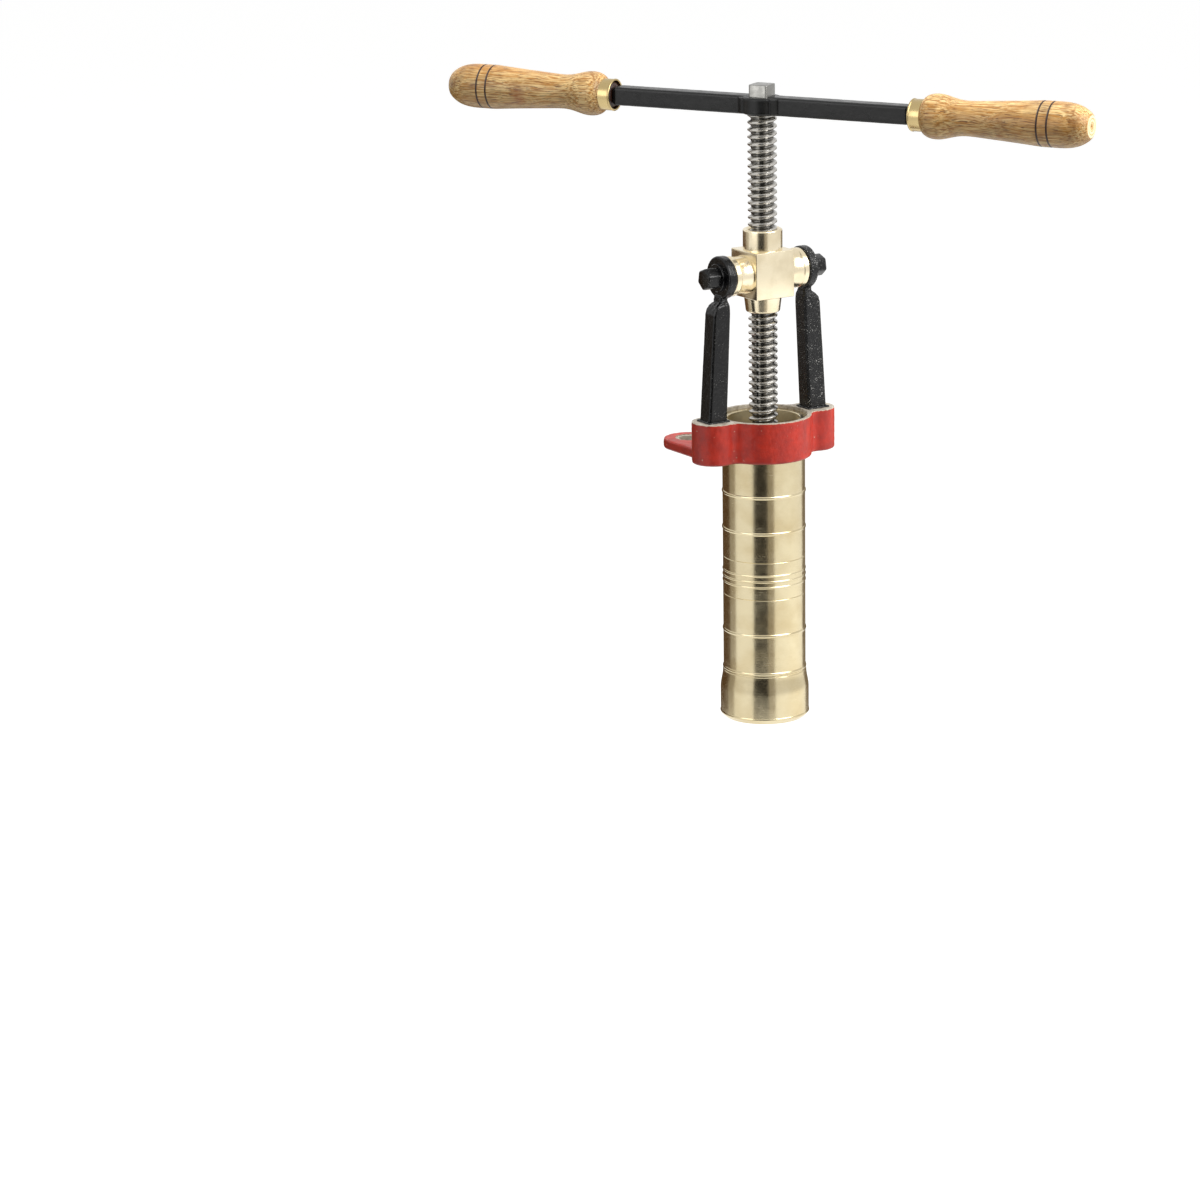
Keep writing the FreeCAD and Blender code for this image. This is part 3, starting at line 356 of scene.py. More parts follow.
def screw_steel():
    """Machined steel thread, bright on the crests and dark in the roots, partly from oil and
    partly from painted shade in the recess.
    """
    made, tree = blank("oiled_steel")
    tints, sizes = settings("colours"), settings("screw")
    where = add(tree, "TexCoord").outputs["Object"]
    centred = add(tree, "Mapping", {"Vector": where, "Location": -AXIS})
    flat = add(tree, "VectorMath", {0: centred, 1: (1, 1, 0)}, operation="MULTIPLY")
    radius = add(tree, "VectorMath", {0: flat}, operation="LENGTH").outputs["Value"]
    blot = add(tree, "TexNoise", {"Vector": where, "Scale": 1 / (2.5 * MM), "Detail": 4.0})
    # Darker the deeper a place lies in the thread: painted shade of the roots, with oil in them
    # mottled by the blot.
    root = add(tree, "MapRange", {0: radius, 1: sizes.minor + 0.2 * MM,
                                  2: sizes.major - 0.5 * MM, 3: 1.0, 4: 0.0})
    soiled = add(tree, "MapRange", {0: blot, 1: 0.3, 2: 0.65, 3: 0.3, 4: 0.9})
    grease_and_root_shade = add(tree, "Math", {0: root, 1: soiled}, operation="MULTIPLY")
    base = add(tree, "Mix", {0: grease_and_root_shade, 6: tints.steel, 7: tints.grease_shade}, data_type="RGBA")
    marks = add(tree, "TexNoise", {"Vector": where, "Scale": 1 / (0.6 * MM), "Detail": 3.0})
    skin = add(tree, "Bump", {"Height": marks, "Distance": 0.02 * MM, "Strength": 0.5})
    add(tree, "OutputMaterial", {"Surface": add(tree, "BsdfPrincipled", {
        "Base Color": base, "Metallic": 1.0, "Normal": skin,
        "Roughness": add(tree, "MapRange", {0: blot, 1: 0.3, 2: 0.7, 3: 0.14, 4: 0.28})})})
    return made


def plain_metal(name, tint, rough):
    """A clean metal with faint mottling, for washers, nuts and bolts."""
    made, tree = blank(name)
    where = add(tree, "TexCoord").outputs["Object"]
    blot = add(tree, "TexNoise", {"Vector": where, "Scale": 1 / (4 * MM), "Detail": 4.0})
    base = add(tree, "Mix", {0: add(tree, "MapRange", {0: blot, 1: 0.3, 2: 0.7, 4: 0.35}),
                             6: tint, 7: [part * 0.55 for part in tint]}, data_type="RGBA")
    add(tree, "OutputMaterial", {"Surface": add(tree, "BsdfPrincipled", {
        "Base Color": base, "Metallic": 1.0, "Roughness": add(tree, "MapRange", {
            0: blot, 1: 0.3, 2: 0.7, 3: rough * 0.8, 4: rough * 1.25})})})
    return made


def black_paint(name, tint, rough, lump, depth, chips=0.0):
    """Black paint over rough iron: it pools between the lumps, shines on them and chips pale."""
    made, tree = blank(name)
    where = add(tree, "TexCoord").outputs["Object"]
    blot = add(tree, "TexNoise", {"Vector": where, "Scale": 1 / (6 * MM), "Detail": 4.0})
    base = add(tree, "Mix", {0: add(tree, "MapRange", {0: blot, 1: 0.4, 2: 0.75, 4: 0.5}),
                             6: tint, 7: [part * 1.9 + 0.002 for part in tint]}, data_type="RGBA")
    lumps = add(tree, "TexNoise", {"Vector": where, "Scale": 1 / lump, "Detail": 4.0})
    skin = add(tree, "Bump", {"Height": lumps, "Distance": depth, "Strength": 0.8})
    fine = add(tree, "TexNoise", {"Vector": where, "Scale": 1 / (lump * 0.3), "Detail": 2.0})
    skin = add(tree, "Bump", {"Height": fine, "Distance": depth * 0.25, "Strength": 0.6,
                              "Normal": skin})
    if chips:
        # Chips of about 0.8 mm that gather in patches of about 5 mm.
        patch = add(tree, "TexNoise", {"Vector": where, "Scale": 1 / (5 * MM), "Detail": 3.0})
        patch = add(tree, "MapRange", {0: patch, 1: 0.38, 2: 0.62, 3: 0.60, 4: 0.69})
        chip = add(tree, "TexNoise", {"Vector": where, "Scale": 1 / (0.8 * MM), "Detail": 6.0})
        chip = add(tree, "Math", {0: chip, 1: patch}, operation="SUBTRACT")
        chip = add(tree, "MapRange", {0: chip, 1: 0.0, 2: 0.03, 4: chips})
        base = add(tree, "Mix", {0: chip, 6: base, 7: settings("colours").iron_chip},
                   data_type="RGBA")
    add(tree, "OutputMaterial", {"Surface": add(tree, "BsdfPrincipled", {
        "Base Color": base, "IOR": 1.5, "Specular IOR Level": 0.32, "Normal": skin,
        "Roughness": add(tree, "MapRange", {
            0: blot, 1: 0.3, 2: 0.7, 3: rough * 0.75, 4: rough * 1.3})})})
    return made


def rubber():
    """Moulded rubber, soft sheen."""
    made, tree = blank("seal_rubber")
    where = add(tree, "TexCoord").outputs["Object"]
    haze = add(tree, "TexNoise", {"Vector": where, "Scale": 1 / MM, "Detail": 3.0})
    add(tree, "OutputMaterial", {"Surface": add(tree, "BsdfPrincipled", {
        "Base Color": settings("colours").rubber, "IOR": 1.52,
        "Roughness": add(tree, "MapRange", {0: haze, 1: 0.3, 2: 0.7, 3: 0.45, 4: 0.6})})})
    return made


def along_crank(tree):
    """Coordinates with X along the crank and the screw's axis at the middle."""
    moved = add(tree, "VectorMath", {0: add(tree, "TexCoord").outputs["Object"],
                                     1: (AXIS.x, AXIS.y, CRANK_UP)}, operation="SUBTRACT")
    return add(tree, "VectorRotate", {"Vector": moved, "Angle": -CRANK_TURN},
               rotation_type="Z_AXIS").outputs[0]


def grip_wood():
    """Turned ash under clear varnish: fibres and dark pores along the grip, two burnt grooves."""
    made, tree = blank("varnished_ash")
    tints, crank = settings("colours"), settings("crank")
    where = along_crank(tree)
    # The fibres sway by 5 mm over a length of about 40 mm.
    sway = add(tree, "TexNoise", {"Scale": 1 / MM, "Detail": 2.0, "Vector": add(
        tree, "Mapping", {"Vector": where, "Scale": (1 / 40, 1 / 12, 1 / 12)})}).outputs["Color"]
    shift = add(tree, "VectorMath", {0: sway, 1: (0.0, 5 * MM, 5 * MM)}, operation="MULTIPLY")
    bent = add(tree, "VectorMath", {0: where, 1: shift}, operation="ADD")
    # Fibres are about 0.9 mm wide and 25 mm long, pores 0.55 mm by 9 mm.
    figure = []
    for size, detail, rough in (((25, 0.9, 0.9), 4.0, 0.6), ((300, 5, 9), 3.0, 0.5),
                                ((9, 0.55, 0.55), 2.0, 0.5)):
        place = add(tree, "Mapping", {"Vector": bent, "Scale": [1 / part for part in size]})
        figure.append(add(tree, "TexNoise", {"Vector": place, "Scale": 1 / MM, "Detail": detail,
                                             "Roughness": rough}))
    fibre, ring, pore = figure
    pore = add(tree, "MapRange", {0: pore, 1: 0.55, 2: 0.65})
    base = add(tree, "Mix", {0: add(tree, "MapRange", {0: fibre, 1: 0.42, 2: 0.58}),
                             6: tints.wood_mid, 7: tints.wood_light}, data_type="RGBA")
    # Hands have darkened both ends of a grip more than its waist.
    run = add(tree, "Math", {0: add(tree, "SeparateXYZ", {0: where}).outputs["X"]},
              operation="ABSOLUTE")
    start = crank.reach + crank.ferrule_long
    near = add(tree, "MapRange", {0: run, 1: start, 2: start + 22 * MM, 3: 0.8, 4: 0.35})
    far = add(tree, "MapRange", {0: run, 1: start + 78 * MM, 2: start + 112 * MM, 3: 0.35, 4: 0.9})
    stain = add(tree, "TexNoise", {"Vector": where, "Scale": 1 / (17 * MM), "Detail": 4.0})
    stain = add(tree, "MapRange", {0: stain, 1: 0.46, 2: 0.72})
    stain = add(tree, "Math", {0: stain, 1: add(tree, "Math", {0: near, 1: far},
                                                operation="MAXIMUM")}, operation="MULTIPLY")
    spot = add(tree, "VectorMath", {0: bent, 1: (-start - 60 * MM, -13.5 * MM, -2 * MM)},
               operation="DISTANCE").outputs["Value"]
    burnt = add(tree, "MapRange", {0: run, 1: start - 1 * MM, 2: start, 3: 1.0, 4: 0.0})
    for groove in (crank.first_groove, crank.second_groove):
        away = add(tree, "Math", {0: run, 1: start + groove}, operation="SUBTRACT")
        away = add(tree, "Math", {0: away}, operation="ABSOLUTE")
        line = add(tree, "MapRange", {0: away, 1: 0.5 * MM, 2: 0.9 * MM, 3: 1.0, 4: 0.0})
        burnt = add(tree, "Math", {0: burnt, 1: line}, operation="MAXIMUM")
    for share, tint in (
            (add(tree, "MapRange", {0: ring, 1: 0.48, 2: 0.62, 4: 0.65}), tints.wood_mid),
            (add(tree, "Math", {0: pore, 1: 0.85}, operation="MULTIPLY"), tints.wood_dark),
            (stain, tints.wood_dark),
            (add(tree, "MapRange", {0: spot, 1: 2 * MM, 2: 8 * MM, 3: 0.6, 4: 0.0}), tints.resin),
            (burnt, tints.burnt)):
        base = add(tree, "Mix", {0: share, 6: base, 7: tint}, data_type="RGBA")
    skin = add(tree, "Bump", {"Height": fibre, "Distance": 0.08 * MM, "Strength": 0.5})
    skin = add(tree, "Bump", {"Height": pore, "Distance": -0.08 * MM, "Strength": 0.5,
                              "Normal": skin})
    add(tree, "OutputMaterial", {"Surface": add(tree, "BsdfPrincipled", {
        "Base Color": base, "IOR": 1.5, "Specular IOR Level": 0.35, "Coat Weight": 0.2,
        "Coat Roughness": 0.25, "Normal": skin,
        "Roughness": add(tree, "MapRange", {0: fibre, 1: 0.3, 2: 0.7, 3: 0.34, 4: 0.5})})})
    return made


def end_grain():
    """Parted end of a grip: bare wood with rings 2.4 mm apart and a dark dimple."""
    made, tree = blank("bare_end_grain")
    tints = settings("colours")
    flat = add(tree, "VectorMath", {0: along_crank(tree), 1: (0, 1, 1)}, operation="MULTIPLY")
    radius = add(tree, "VectorMath", {0: flat}, operation="LENGTH").outputs["Value"]
    turns = add(tree, "Math", {0: radius, 1: TAU / (2.4 * MM)}, operation="MULTIPLY")
    wave = add(tree, "Math", {0: turns}, operation="SINE")
    base = add(tree, "Mix", {0: add(tree, "MapRange", {0: wave, 1: 0.2, 2: 0.9, 4: 0.75}),
                             6: tints.end_grain, 7: tints.wood_mid}, data_type="RGBA")
    dimple = add(tree, "MapRange", {0: radius, 1: 0.7 * MM, 2: 1.3 * MM, 3: 1.0, 4: 0.0})
    base = add(tree, "Mix", {0: dimple, 6: base, 7: tints.burnt}, data_type="RGBA")
    add(tree, "OutputMaterial", {"Surface": add(tree, "BsdfPrincipled", {
        "Base Color": base, "Roughness": 0.7, "IOR": 1.5})})
    return made


def seen_rays(tree):
    """One for camera, glossy and transmission rays, and zero for the rays that carry light."""
    path = add(tree, "LightPath").outputs
    seen = add(tree, "Math", {0: path["Is Camera Ray"], 1: path["Is Glossy Ray"]},
               operation="MAXIMUM")
    return add(tree, "Math", {0: seen, 1: path["Is Transmission Ray"]}, operation="MAXIMUM")


def studio_white():
    """Floor paint that looks white to the camera and in gloss, and still takes the shadow."""
    made, tree = blank("floor_paint")
    paint = add(tree, "BsdfDiffuse", {"Color": settings("colours").floor})
    glow = add(tree, "Emission", {"Color": (1, 1, 1), "Strength": add(
        tree, "Math", {0: seen_rays(tree), 1: 0.93}, operation="MULTIPLY")})
    add(tree, "OutputMaterial", {"Surface": add(tree, "AddShader", {0: paint, 1: glow})})
    return made


FINISHES = {}


def finish(name):
    """A finish by name, made the first time it is asked for."""
    if name not in FINISHES:
        tints = settings("colours")
        makers = {
            "red_enamel": (red_enamel,),
            "bare_iron": (bare_iron,),
            "turned_brass": (brass, "turned_brass", tints.turned_brass, 0.2, "Z"),
            "bored_brass": (brass, "bored_brass", tints.turned_brass, 0.5),
            "nut_brass": (brass, "polished_brass", tints.nut_brass, 0.21),
            "ferrule_brass": (brass, "ferrule_brass", tints.ferrule_brass, 0.27),
            "bronze": (brass, "turned_bronze", tints.bronze, 0.32),
            "screw_steel": (screw_steel,),
            "bright_steel": (plain_metal, "bright_steel", tints.bright_steel, 0.3),
            "zinc": (plain_metal, "zinc_plate", tints.zinc, 0.32),
            "black_iron": (black_paint, "black_gloss_iron", tints.black, 0.22, 2.8 * MM,
                           0.3 * MM, 0.2),
            "pitted_iron": (black_paint, "pitted_black_iron", tints.black, 0.2, 1.2 * MM,
                            0.7 * MM, 0.85),
            "bar_black": (black_paint, "forged_black", tints.bar_black, 0.32, 1.6 * MM,
                          0.08 * MM),
            "rubber": (rubber,),
            "grip_wood": (grip_wood,),
            "end_grain": (end_grain,),
        }
        maker, *values = makers[name]
        FINISHES[name] = maker(*values)
    return FINISHES[name]


# ---------------------------------------------------------------- shaping

def lathe(mesh, profile, steps=128, matrix=None, closed=False):
    """Turn a profile of (radius, height) points about Z, then move it by the matrix."""
    verts = [mesh.verts.new((radius, 0, height)) for radius, height in profile]
    edges = [mesh.edges.new(pair) for pair in zip(verts, verts[1:])]
    if closed:
        edges.append(mesh.edges.new((verts[-1], verts[0])))
    before = set(mesh.verts) - set(verts)
    bmesh.ops.spin(mesh, geom=verts + edges, cent=(0, 0, 0), axis=(0, 0, 1), angle=TAU,
                   steps=steps, use_merge=True)
    fresh = [vert for vert in mesh.verts if vert not in before]
    bmesh.ops.remove_doubles(mesh, verts=fresh, dist=LATHE_WELD)
    fresh = [vert for vert in mesh.verts if vert not in before]
    if matrix is not None:
        bmesh.ops.transform(mesh, matrix=matrix, verts=fresh)
    return fresh


def arc_points(centre, radius, start, end, count):
    """Points on an arc in the profile's plane; angles in degrees from the radius direction."""
    angles = [math.radians(start + (end - start) * step / count) for step in range(count + 1)]
    return [(centre[0] + radius * math.cos(angle), centre[1] + radius * math.sin(angle))
            for angle in angles]


def bead_points(wall, height, half, proud):
    """A raised bead on a wall, as a low arc whose ends lie on the wall."""
    radius = (half * half + proud * proud) / (2 * proud)
    angle = math.degrees(math.asin(half / radius))
    return arc_points((wall + proud - radius, height), radius, -angle, angle, 6)


def prism(mesh, loop, low, high):
    """Fill a closed loop of verts at one level and raise it to another."""
    face = mesh.faces.new(loop)
    for vert in loop:
        vert.co.z = low
    raised = bmesh.ops.extrude_face_region(mesh, geom=[face])["geom"]
    top = [item for item in raised if isinstance(item, bmesh.types.BMVert)]
    bmesh.ops.translate(mesh, verts=top, vec=(0, 0, high - low))


def swing(mesh, vert, centre, degrees, steps):
    """Carry a vert along an arc about an upright axis and return the chain of verts."""
    before = set(mesh.verts)
    bmesh.ops.spin(mesh, geom=[vert], cent=(*centre, 0), axis=(0, 0, 1),
                   angle=math.radians(degrees), steps=steps)
    fresh = [item for item in mesh.verts if item not in before]
    mesh.verts.index_update()
    return [vert] + sorted(fresh, key=lambda item: item.index)


def cylinder(mesh, radius, depth, matrix, segments):
    """A capped cylinder along the matrix's Z, with its middle at the matrix's origin."""
    return bmesh.ops.create_cone(mesh, cap_ends=True, segments=segments, radius1=radius,
                                 radius2=radius, depth=depth, matrix=matrix)["verts"]


def block(mesh, size, matrix):
    """A box of the given size about the matrix's origin."""
    scale = Matrix.Diagonal((*size, 1.0))
    return bmesh.ops.create_cube(mesh, size=1.0, matrix=matrix @ scale)["verts"]


def edges_of(verts):
    """The edges whose ends are both in verts, each once."""
    chosen = set(verts)
    return list(dict.fromkeys(edge for vert in verts for edge in vert.link_edges
                              if all(end in chosen for end in edge.verts)))


def long_edges(verts, axis):
    """The edges among verts that run more than 1 mm along an axis: 0 for X, 2 for Z."""
    return [edge for edge in edges_of(verts)
            if abs(edge.verts[0].co[axis] - edge.verts[1].co[axis]) > MM]


def bevel(mesh, edges, width, segments=3):
    """Round the edges to the width."""
    bmesh.ops.bevel(mesh, geom=edges, offset=width, offset_type="OFFSET", segments=segments,
                    profile=0.5, affect="EDGES", clamp_overlap=True, material=-1)


def bisect(mesh, place, outwards, clear=False):
    """Cut the mesh along a plane and, if asked, clear what lies outwards of it."""
    bmesh.ops.bisect_plane(mesh, geom=mesh.verts[:] + mesh.edges[:] + mesh.faces[:],
                           plane_co=place, plane_no=outwards, clear_outer=clear)


def at(x=0.0, y=0.0, z=0.0):
    """A place measured from the screw's axis on the bench face."""
    return Matrix.Translation(AXIS + Vector((x, y, z)))


def facing_x(side):
    """Turns +Z to +X or -X."""
    return Matrix.Rotation(side * TAU / 4, 4, "Y")


def on_crank(side):
    """A place at one ferrule of the crank, with +Z running out along the grip."""
    turn = Matrix.Rotation(CRANK_TURN + (0 if side > 0 else TAU / 2), 4, "Z")
    out = Matrix.Translation((settings("crank").reach, 0, 0))
    return at(z=CRANK_UP) @ turn @ out @ facing_x(1)


def new_object(name, mesh):
    """An object with the bmesh's shape, its faces turned outwards."""
    bmesh.ops.recalc_face_normals(mesh, faces=mesh.faces)
    data = bpy.data.meshes.new(name)
    mesh.to_mesh(data)
    mesh.free()
    made = bpy.data.objects.new(name, data)
    bpy.context.scene.collection.objects.link(made)
    return made


def settle(piece):
    """Apply the piece's modifiers to its mesh and melt away the slivers they leave."""
    shaped = piece.evaluated_get(bpy.context.evaluated_depsgraph_get())
    data = bpy.data.meshes.new_from_object(shaped)
    mesh = bmesh.new()
    mesh.from_mesh(data)
    bmesh.ops.remove_doubles(mesh, verts=mesh.verts, dist=WELD)
    bmesh.ops.dissolve_degenerate(mesh, edges=mesh.edges, dist=WELD)
    mesh.to_mesh(data)
    mesh.free()
    data.materials.clear()
    piece.modifiers.clear()
    old, piece.data = piece.data, data
    bpy.data.meshes.remove(old)
    data.name = piece.name


def modify(piece, kind, **values):
    """Give the piece a modifier with these settings."""
    made = piece.modifiers.new(kind.title(), kind)
    for name, value in values.items():
        setattr(made, name, value)


def carve(piece, cutter, operation="DIFFERENCE"):
    """Cut a bmesh out of a piece, or join it on, exactly."""
    tool = new_object(piece.name + "_tool", cutter)
    modify(piece, "BOOLEAN", operation=operation, solver="MANIFOLD", object=tool)
    settle(piece)
    data = tool.data
    bpy.data.objects.remove(tool)
    bpy.data.meshes.remove(data)


def drill(piece, radius, depth, matrix, segments):
    """Cut a round hole along the matrix's Z, with its middle at the matrix's origin."""
    cutter = bmesh.new()
    cylinder(cutter, radius, depth, matrix, segments)
    carve(piece, cutter)


def roughen(piece, lump, octaves, height):
    """Raise lumps on the skin; height gives their height at a place, in metres."""
    normals = [vert.normal.copy() for vert in piece.data.vertices]
    for vert, normal in zip(piece.data.vertices, normals):
        swell = noise.fractal(vert.co / lump, 1.0, 2.0, octaves)
        vert.co += normal * (height(vert.co) * swell)


def cast(piece, voxel, soften, height, lump, smooth=lambda place: False):
    """Melt the piece's shells into one casting with sand-cast lumps, except where smooth."""
    modify(piece, "REMESH", mode="VOXEL", voxel_size=voxel, adaptivity=0.0)
    modify(piece, "SMOOTH", factor=0.5, iterations=soften)
    settle(piece)
    roughen(piece, lump, 3, lambda place: 0.0 if smooth(place) else height)


def dress(piece, body, nodes, finishes, angle):
    """Give a piece its finishes, its body, the nodes it stands for and smooth shading."""
    data = piece.data
    for name in finishes:
        data.materials.append(finish(name))
    data.polygons.foreach_set("use_smooth", [True] * len(data.polygons))
    data.set_sharp_from_angle(angle=math.radians(angle))
    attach(piece, body)
    if nodes:
        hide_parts(*nodes)


def assign(piece, chooser):
    """Give a face the second finish where the chooser says yes, else the first."""
    for face in piece.data.polygons:
        face.material_index = int(chooser(face))


# ---------------------------------------------------------------- collar and arms

def collar_outline(mesh, sizes):
    """Outline of the collar, half by half: round middle, hollow fillets and wing ends."""
    radius = settings("barrel").radius + sizes.wall
    wing, reach, hollow = sizes.wing_radius, sizes.wing_reach, sizes.hollow
    far, near = radius + hollow, wing + hollow
    across = (reach * reach + far * far - near * near) / (2 * reach)
    up = math.sqrt(far * far - across * across)
    lean = math.degrees(math.atan2(up, across))
    wing_lean = math.degrees(math.atan2(up, across - reach))
    loop = [mesh.verts.new((radius, 0, 0))]
    bmesh.ops.rotate(mesh, verts=loop, cent=(0, 0, 0),
                     matrix=Matrix.Rotation(math.radians(180 - lean), 3, "Z"))
    chain = list(loop)
    for side in (1, -1):
        for centre, degrees, steps in (
                ((0, 0), -(180 - 2 * lean), 40),
                ((side * across, side * up), wing_lean - lean, 14),
                ((side * reach, 0), -2 * wing_lean, 48),
                ((side * across, -side * up), wing_lean - lean, 14)):
            chain += swing(mesh, chain[-1], centre, degrees, steps)[1:]
    mesh.verts.remove(chain.pop())
    for edge in list(mesh.edges):
        mesh.edges.remove(edge)
    return chain


def lug_outline(mesh, sizes, side, setback, reach):
    """A lug: straight sides and a round end, reaching back into the collar."""
    first = mesh.verts.new((side * reach + sizes.lug_radius, setback, 0))
    chain = swing(mesh, first, (side * reach, setback), 180, 32)
    chain += [mesh.verts.new((side * reach - sizes.lug_radius, 0, 0)),
              mesh.verts.new((side * reach + sizes.lug_radius, 0, 0))]
    for edge in list(mesh.edges):
        if len(edge.link_faces) == 0:
            mesh.edges.remove(edge)
    return chain


class EXTRUDER_OT_collar(bpy.types.Operator):
    """Build the red cast collar with its machined top, bore and bolt holes"""

    bl_idname = "extruder.collar"
    bl_label = "Collar"

    def execute(self, context):
        sizes, turned = settings("collar"), settings("barrel")
        bolts = lug_bolts()
        reach, hole = bolts["spacing_x_mm"] * MM / 2, bolts["hole_r_mm"] * MM
        setback, flange = -AXIS.y, BARREL_HIGH.x - AXIS.x
        mesh = bmesh.new()
        # The casting is 1.5 mm too high, and is then machined flat.
        prism(mesh, collar_outline(mesh, sizes), 0.0, COLLAR_TOP + 1.5 * MM)
        for side, _ in SIDES:
            prism(mesh, lug_outline(mesh, sizes, side, setback, reach), 0.0, sizes.lug_thick)
        bmesh.ops.transform(mesh, matrix=at(), verts=mesh.verts)
        rims = [edge for edge in mesh.edges
                if abs(edge.verts[0].co.z - edge.verts[1].co.z) < MM / 10]
        bevel(mesh, rims, 1.1 * MM, 2)
        piece = new_object("cast_collar", mesh)
        cast(piece, 0.75 * MM, 4, sizes.cast_grain, 3.2 * MM, lambda place: place.z < 0.4 * MM)
        for vert in piece.data.vertices:
            vert.co.z = max(vert.co.z, 0.0)
        deep = 80 * MM
        seat = BARREL_HIGH.z - turned.flange_thick
        spot = sizes.lug_thick - sizes.spot_deep
        drill(piece, turned.radius, deep, at(), 160)
        drill(piece, flange, deep, at(z=seat + deep / 2), 160)
        for side, _ in SIDES:
            for radius, low in ((hole, -MM), (sizes.spot_radius, spot)):
                drill(piece, radius, deep, at(side * reach, setback, low + deep / 2), 72)
            for radius, high in ((sizes.tenon, deep), (sizes.pocket, sizes.pocket)):
                drill(piece, radius, high + 2 * MM, at(side * sizes.wing_reach, 0, high / 2 - MM),
                      72)
        cutter = bmesh.new()
        block(cutter, (0.2, 0.2, 0.02), at(z=COLLAR_TOP + 0.01))
        carve(piece, cutter)

        def machined(face):
            """Whether a face is machined: the top, the spot faces, the holes and the bore."""
            place = face.center - AXIS
            if abs(face.normal.z) > 0.9:
                levels = [COLLAR_TOP, seat]
                if place.y > setback - 12 * MM:
                    levels.append(spot)
                return any(abs(place.z - level) < NEAR for level in levels)
            from_bolt = math.hypot(abs(place.x) - reach, place.y - setback)
            return (place.xy.length < flange + 2 * NEAR
                    or from_bolt < sizes.spot_radius + 2 * NEAR)

        assign(piece, machined)
        dress(piece, "frame", ["mounting_collar"], ["red_enamel", "bare_iron"], 40)
        return {"FINISHED"}


def post_ring(side, centre, up, cut, long, wide):
    """The eight corners of an arm's post at one height, with the long edges chamfered."""
    outer, inner = centre + (long / 2 - cut) * MM, centre - long / 2 * MM
    edge = min(settings("collar").arm_edge, (outer - inner) * 0.3)
    ring = []
    for x, y in ((outer, 1), (inner, 1), (inner, -1), (outer, -1)):
        inwards = -1 if x == outer else 1
        corner = Vector((side * x, side * y * wide / 2 * MM, up))
        pair = [corner - Vector((0, side * y * edge, 0)),
                corner + Vector((side * inwards * edge, 0, 0))]
        ring += pair if (x == outer) == (y > 0) else pair[::-1]
    return ring


def arm_piece(side, name):
    """Cast one arm: a leaning square post, a pinched neck and a round eye."""
    sizes = settings("collar")
    post_top = PIVOT_UP - sizes.eye_radius - 2.6 * MM
    eye_x = side * (sizes.eye_inside + sizes.eye_thick / 2)
    lean = (sizes.wing_reach - sizes.arm_top) / (post_top - COLLAR_TOP)
    # Up the post and round its shoulder: the height in metres, then in millimetres the length
    # cut from the outer side, the length and the width.
    stations = ((COLLAR_TOP - 0.5 * MM, 0, 14.8, 13.4), (COLLAR_TOP + 30 * MM, 0, 14.3, 13.2),
                (post_top - 7.5 * MM, 0, 13.6, 12.8), (post_top - 4.2 * MM, 0.5, 13.2, 12.5),
                (post_top - 1.8 * MM, 1.6, 12.7, 12.0), (post_top - 0.3 * MM, 3.3, 11.8, 11.0),
                (post_top + 0.9 * MM, 4.1, 11.0, 9.6), (post_top + 2.0 * MM, 3.8, 10.6, 9.0),
                (post_top + 4.5 * MM, 3.7, 10.3, 9.2))
    mesh = bmesh.new()
    top = None
    for up, *sizes_there in stations:
        ring = post_ring(side, sizes.wing_reach - lean * (up - COLLAR_TOP), up, *sizes_there)
        if top is None:
            top = mesh.faces.new([mesh.verts.new(place) for place in ring])
            continue
        raised = bmesh.ops.extrude_face_region(mesh, geom=[top])["geom"]
        top = next(item for item in raised if isinstance(item, bmesh.types.BMFace))
        for vert, place in zip(top.verts, ring):
            vert.co = place
    bmesh.ops.transform(mesh, matrix=at(), verts=mesh.verts)
    rim = cylinder(mesh, sizes.eye_radius, sizes.eye_thick, at(eye_x, 0, PIVOT_UP) @ facing_x(1),
                   72)
    bevel(mesh, [edge for edge in edges_of(rim) if len(edge.link_faces) == 2
                 and any(len(face.verts) > 8 for face in edge.link_faces)], 0.9 * MM, 2)
    # The melt runs with the post upright, so that its long edges follow the grid.
    upright = Matrix.Identity(4)
    upright[0][2] = side * lean
    upright[0][3] = -side * lean * COLLAR_TOP
    bmesh.ops.transform(mesh, matrix=upright, verts=mesh.verts)
    piece = new_object("cast_" + name, mesh)
    # The eye's inner face stays smooth, and here it stands further out by the lean.
    eye_face = sizes.eye_inside + lean * (PIVOT_UP - COLLAR_TOP) + 0.9 * MM
    cast(piece, 0.4 * MM, 4, 0.05 * MM, 2.6 * MM, lambda place: abs(place.x) < eye_face)
    piece.data.transform(upright.inverted())
    # Lumps of spelter round the neck; the right arm has more of them.
    neck, spread = PIVOT_UP - sizes.eye_radius - 2 * MM, (13 if side > 0 else 6) * MM

    def spelter(place):
        """The lumps' height at a place: most at the neck, and none on the eye's inner face."""
        outside = abs(place.x) > sizes.eye_inside + 1.5 * MM
        return outside * max(0.0, 1 - abs(place.z - neck) / spread) * 0.55 * MM

    roughen(piece, 2.1 * MM, 2, spelter)
    dress(piece, "frame", [name], ["pitted_iron" if side > 0 else "black_iron"], 60)


class EXTRUDER_OT_arms(bpy.types.Operator):
    """Build the two cast arms"""

    bl_idname = "extruder.arms"
    bl_label = "Arms"

    def execute(self, context):
        for side, word in SIDES:
            arm_piece(side, word + "_arm")
        return {"FINISHED"}


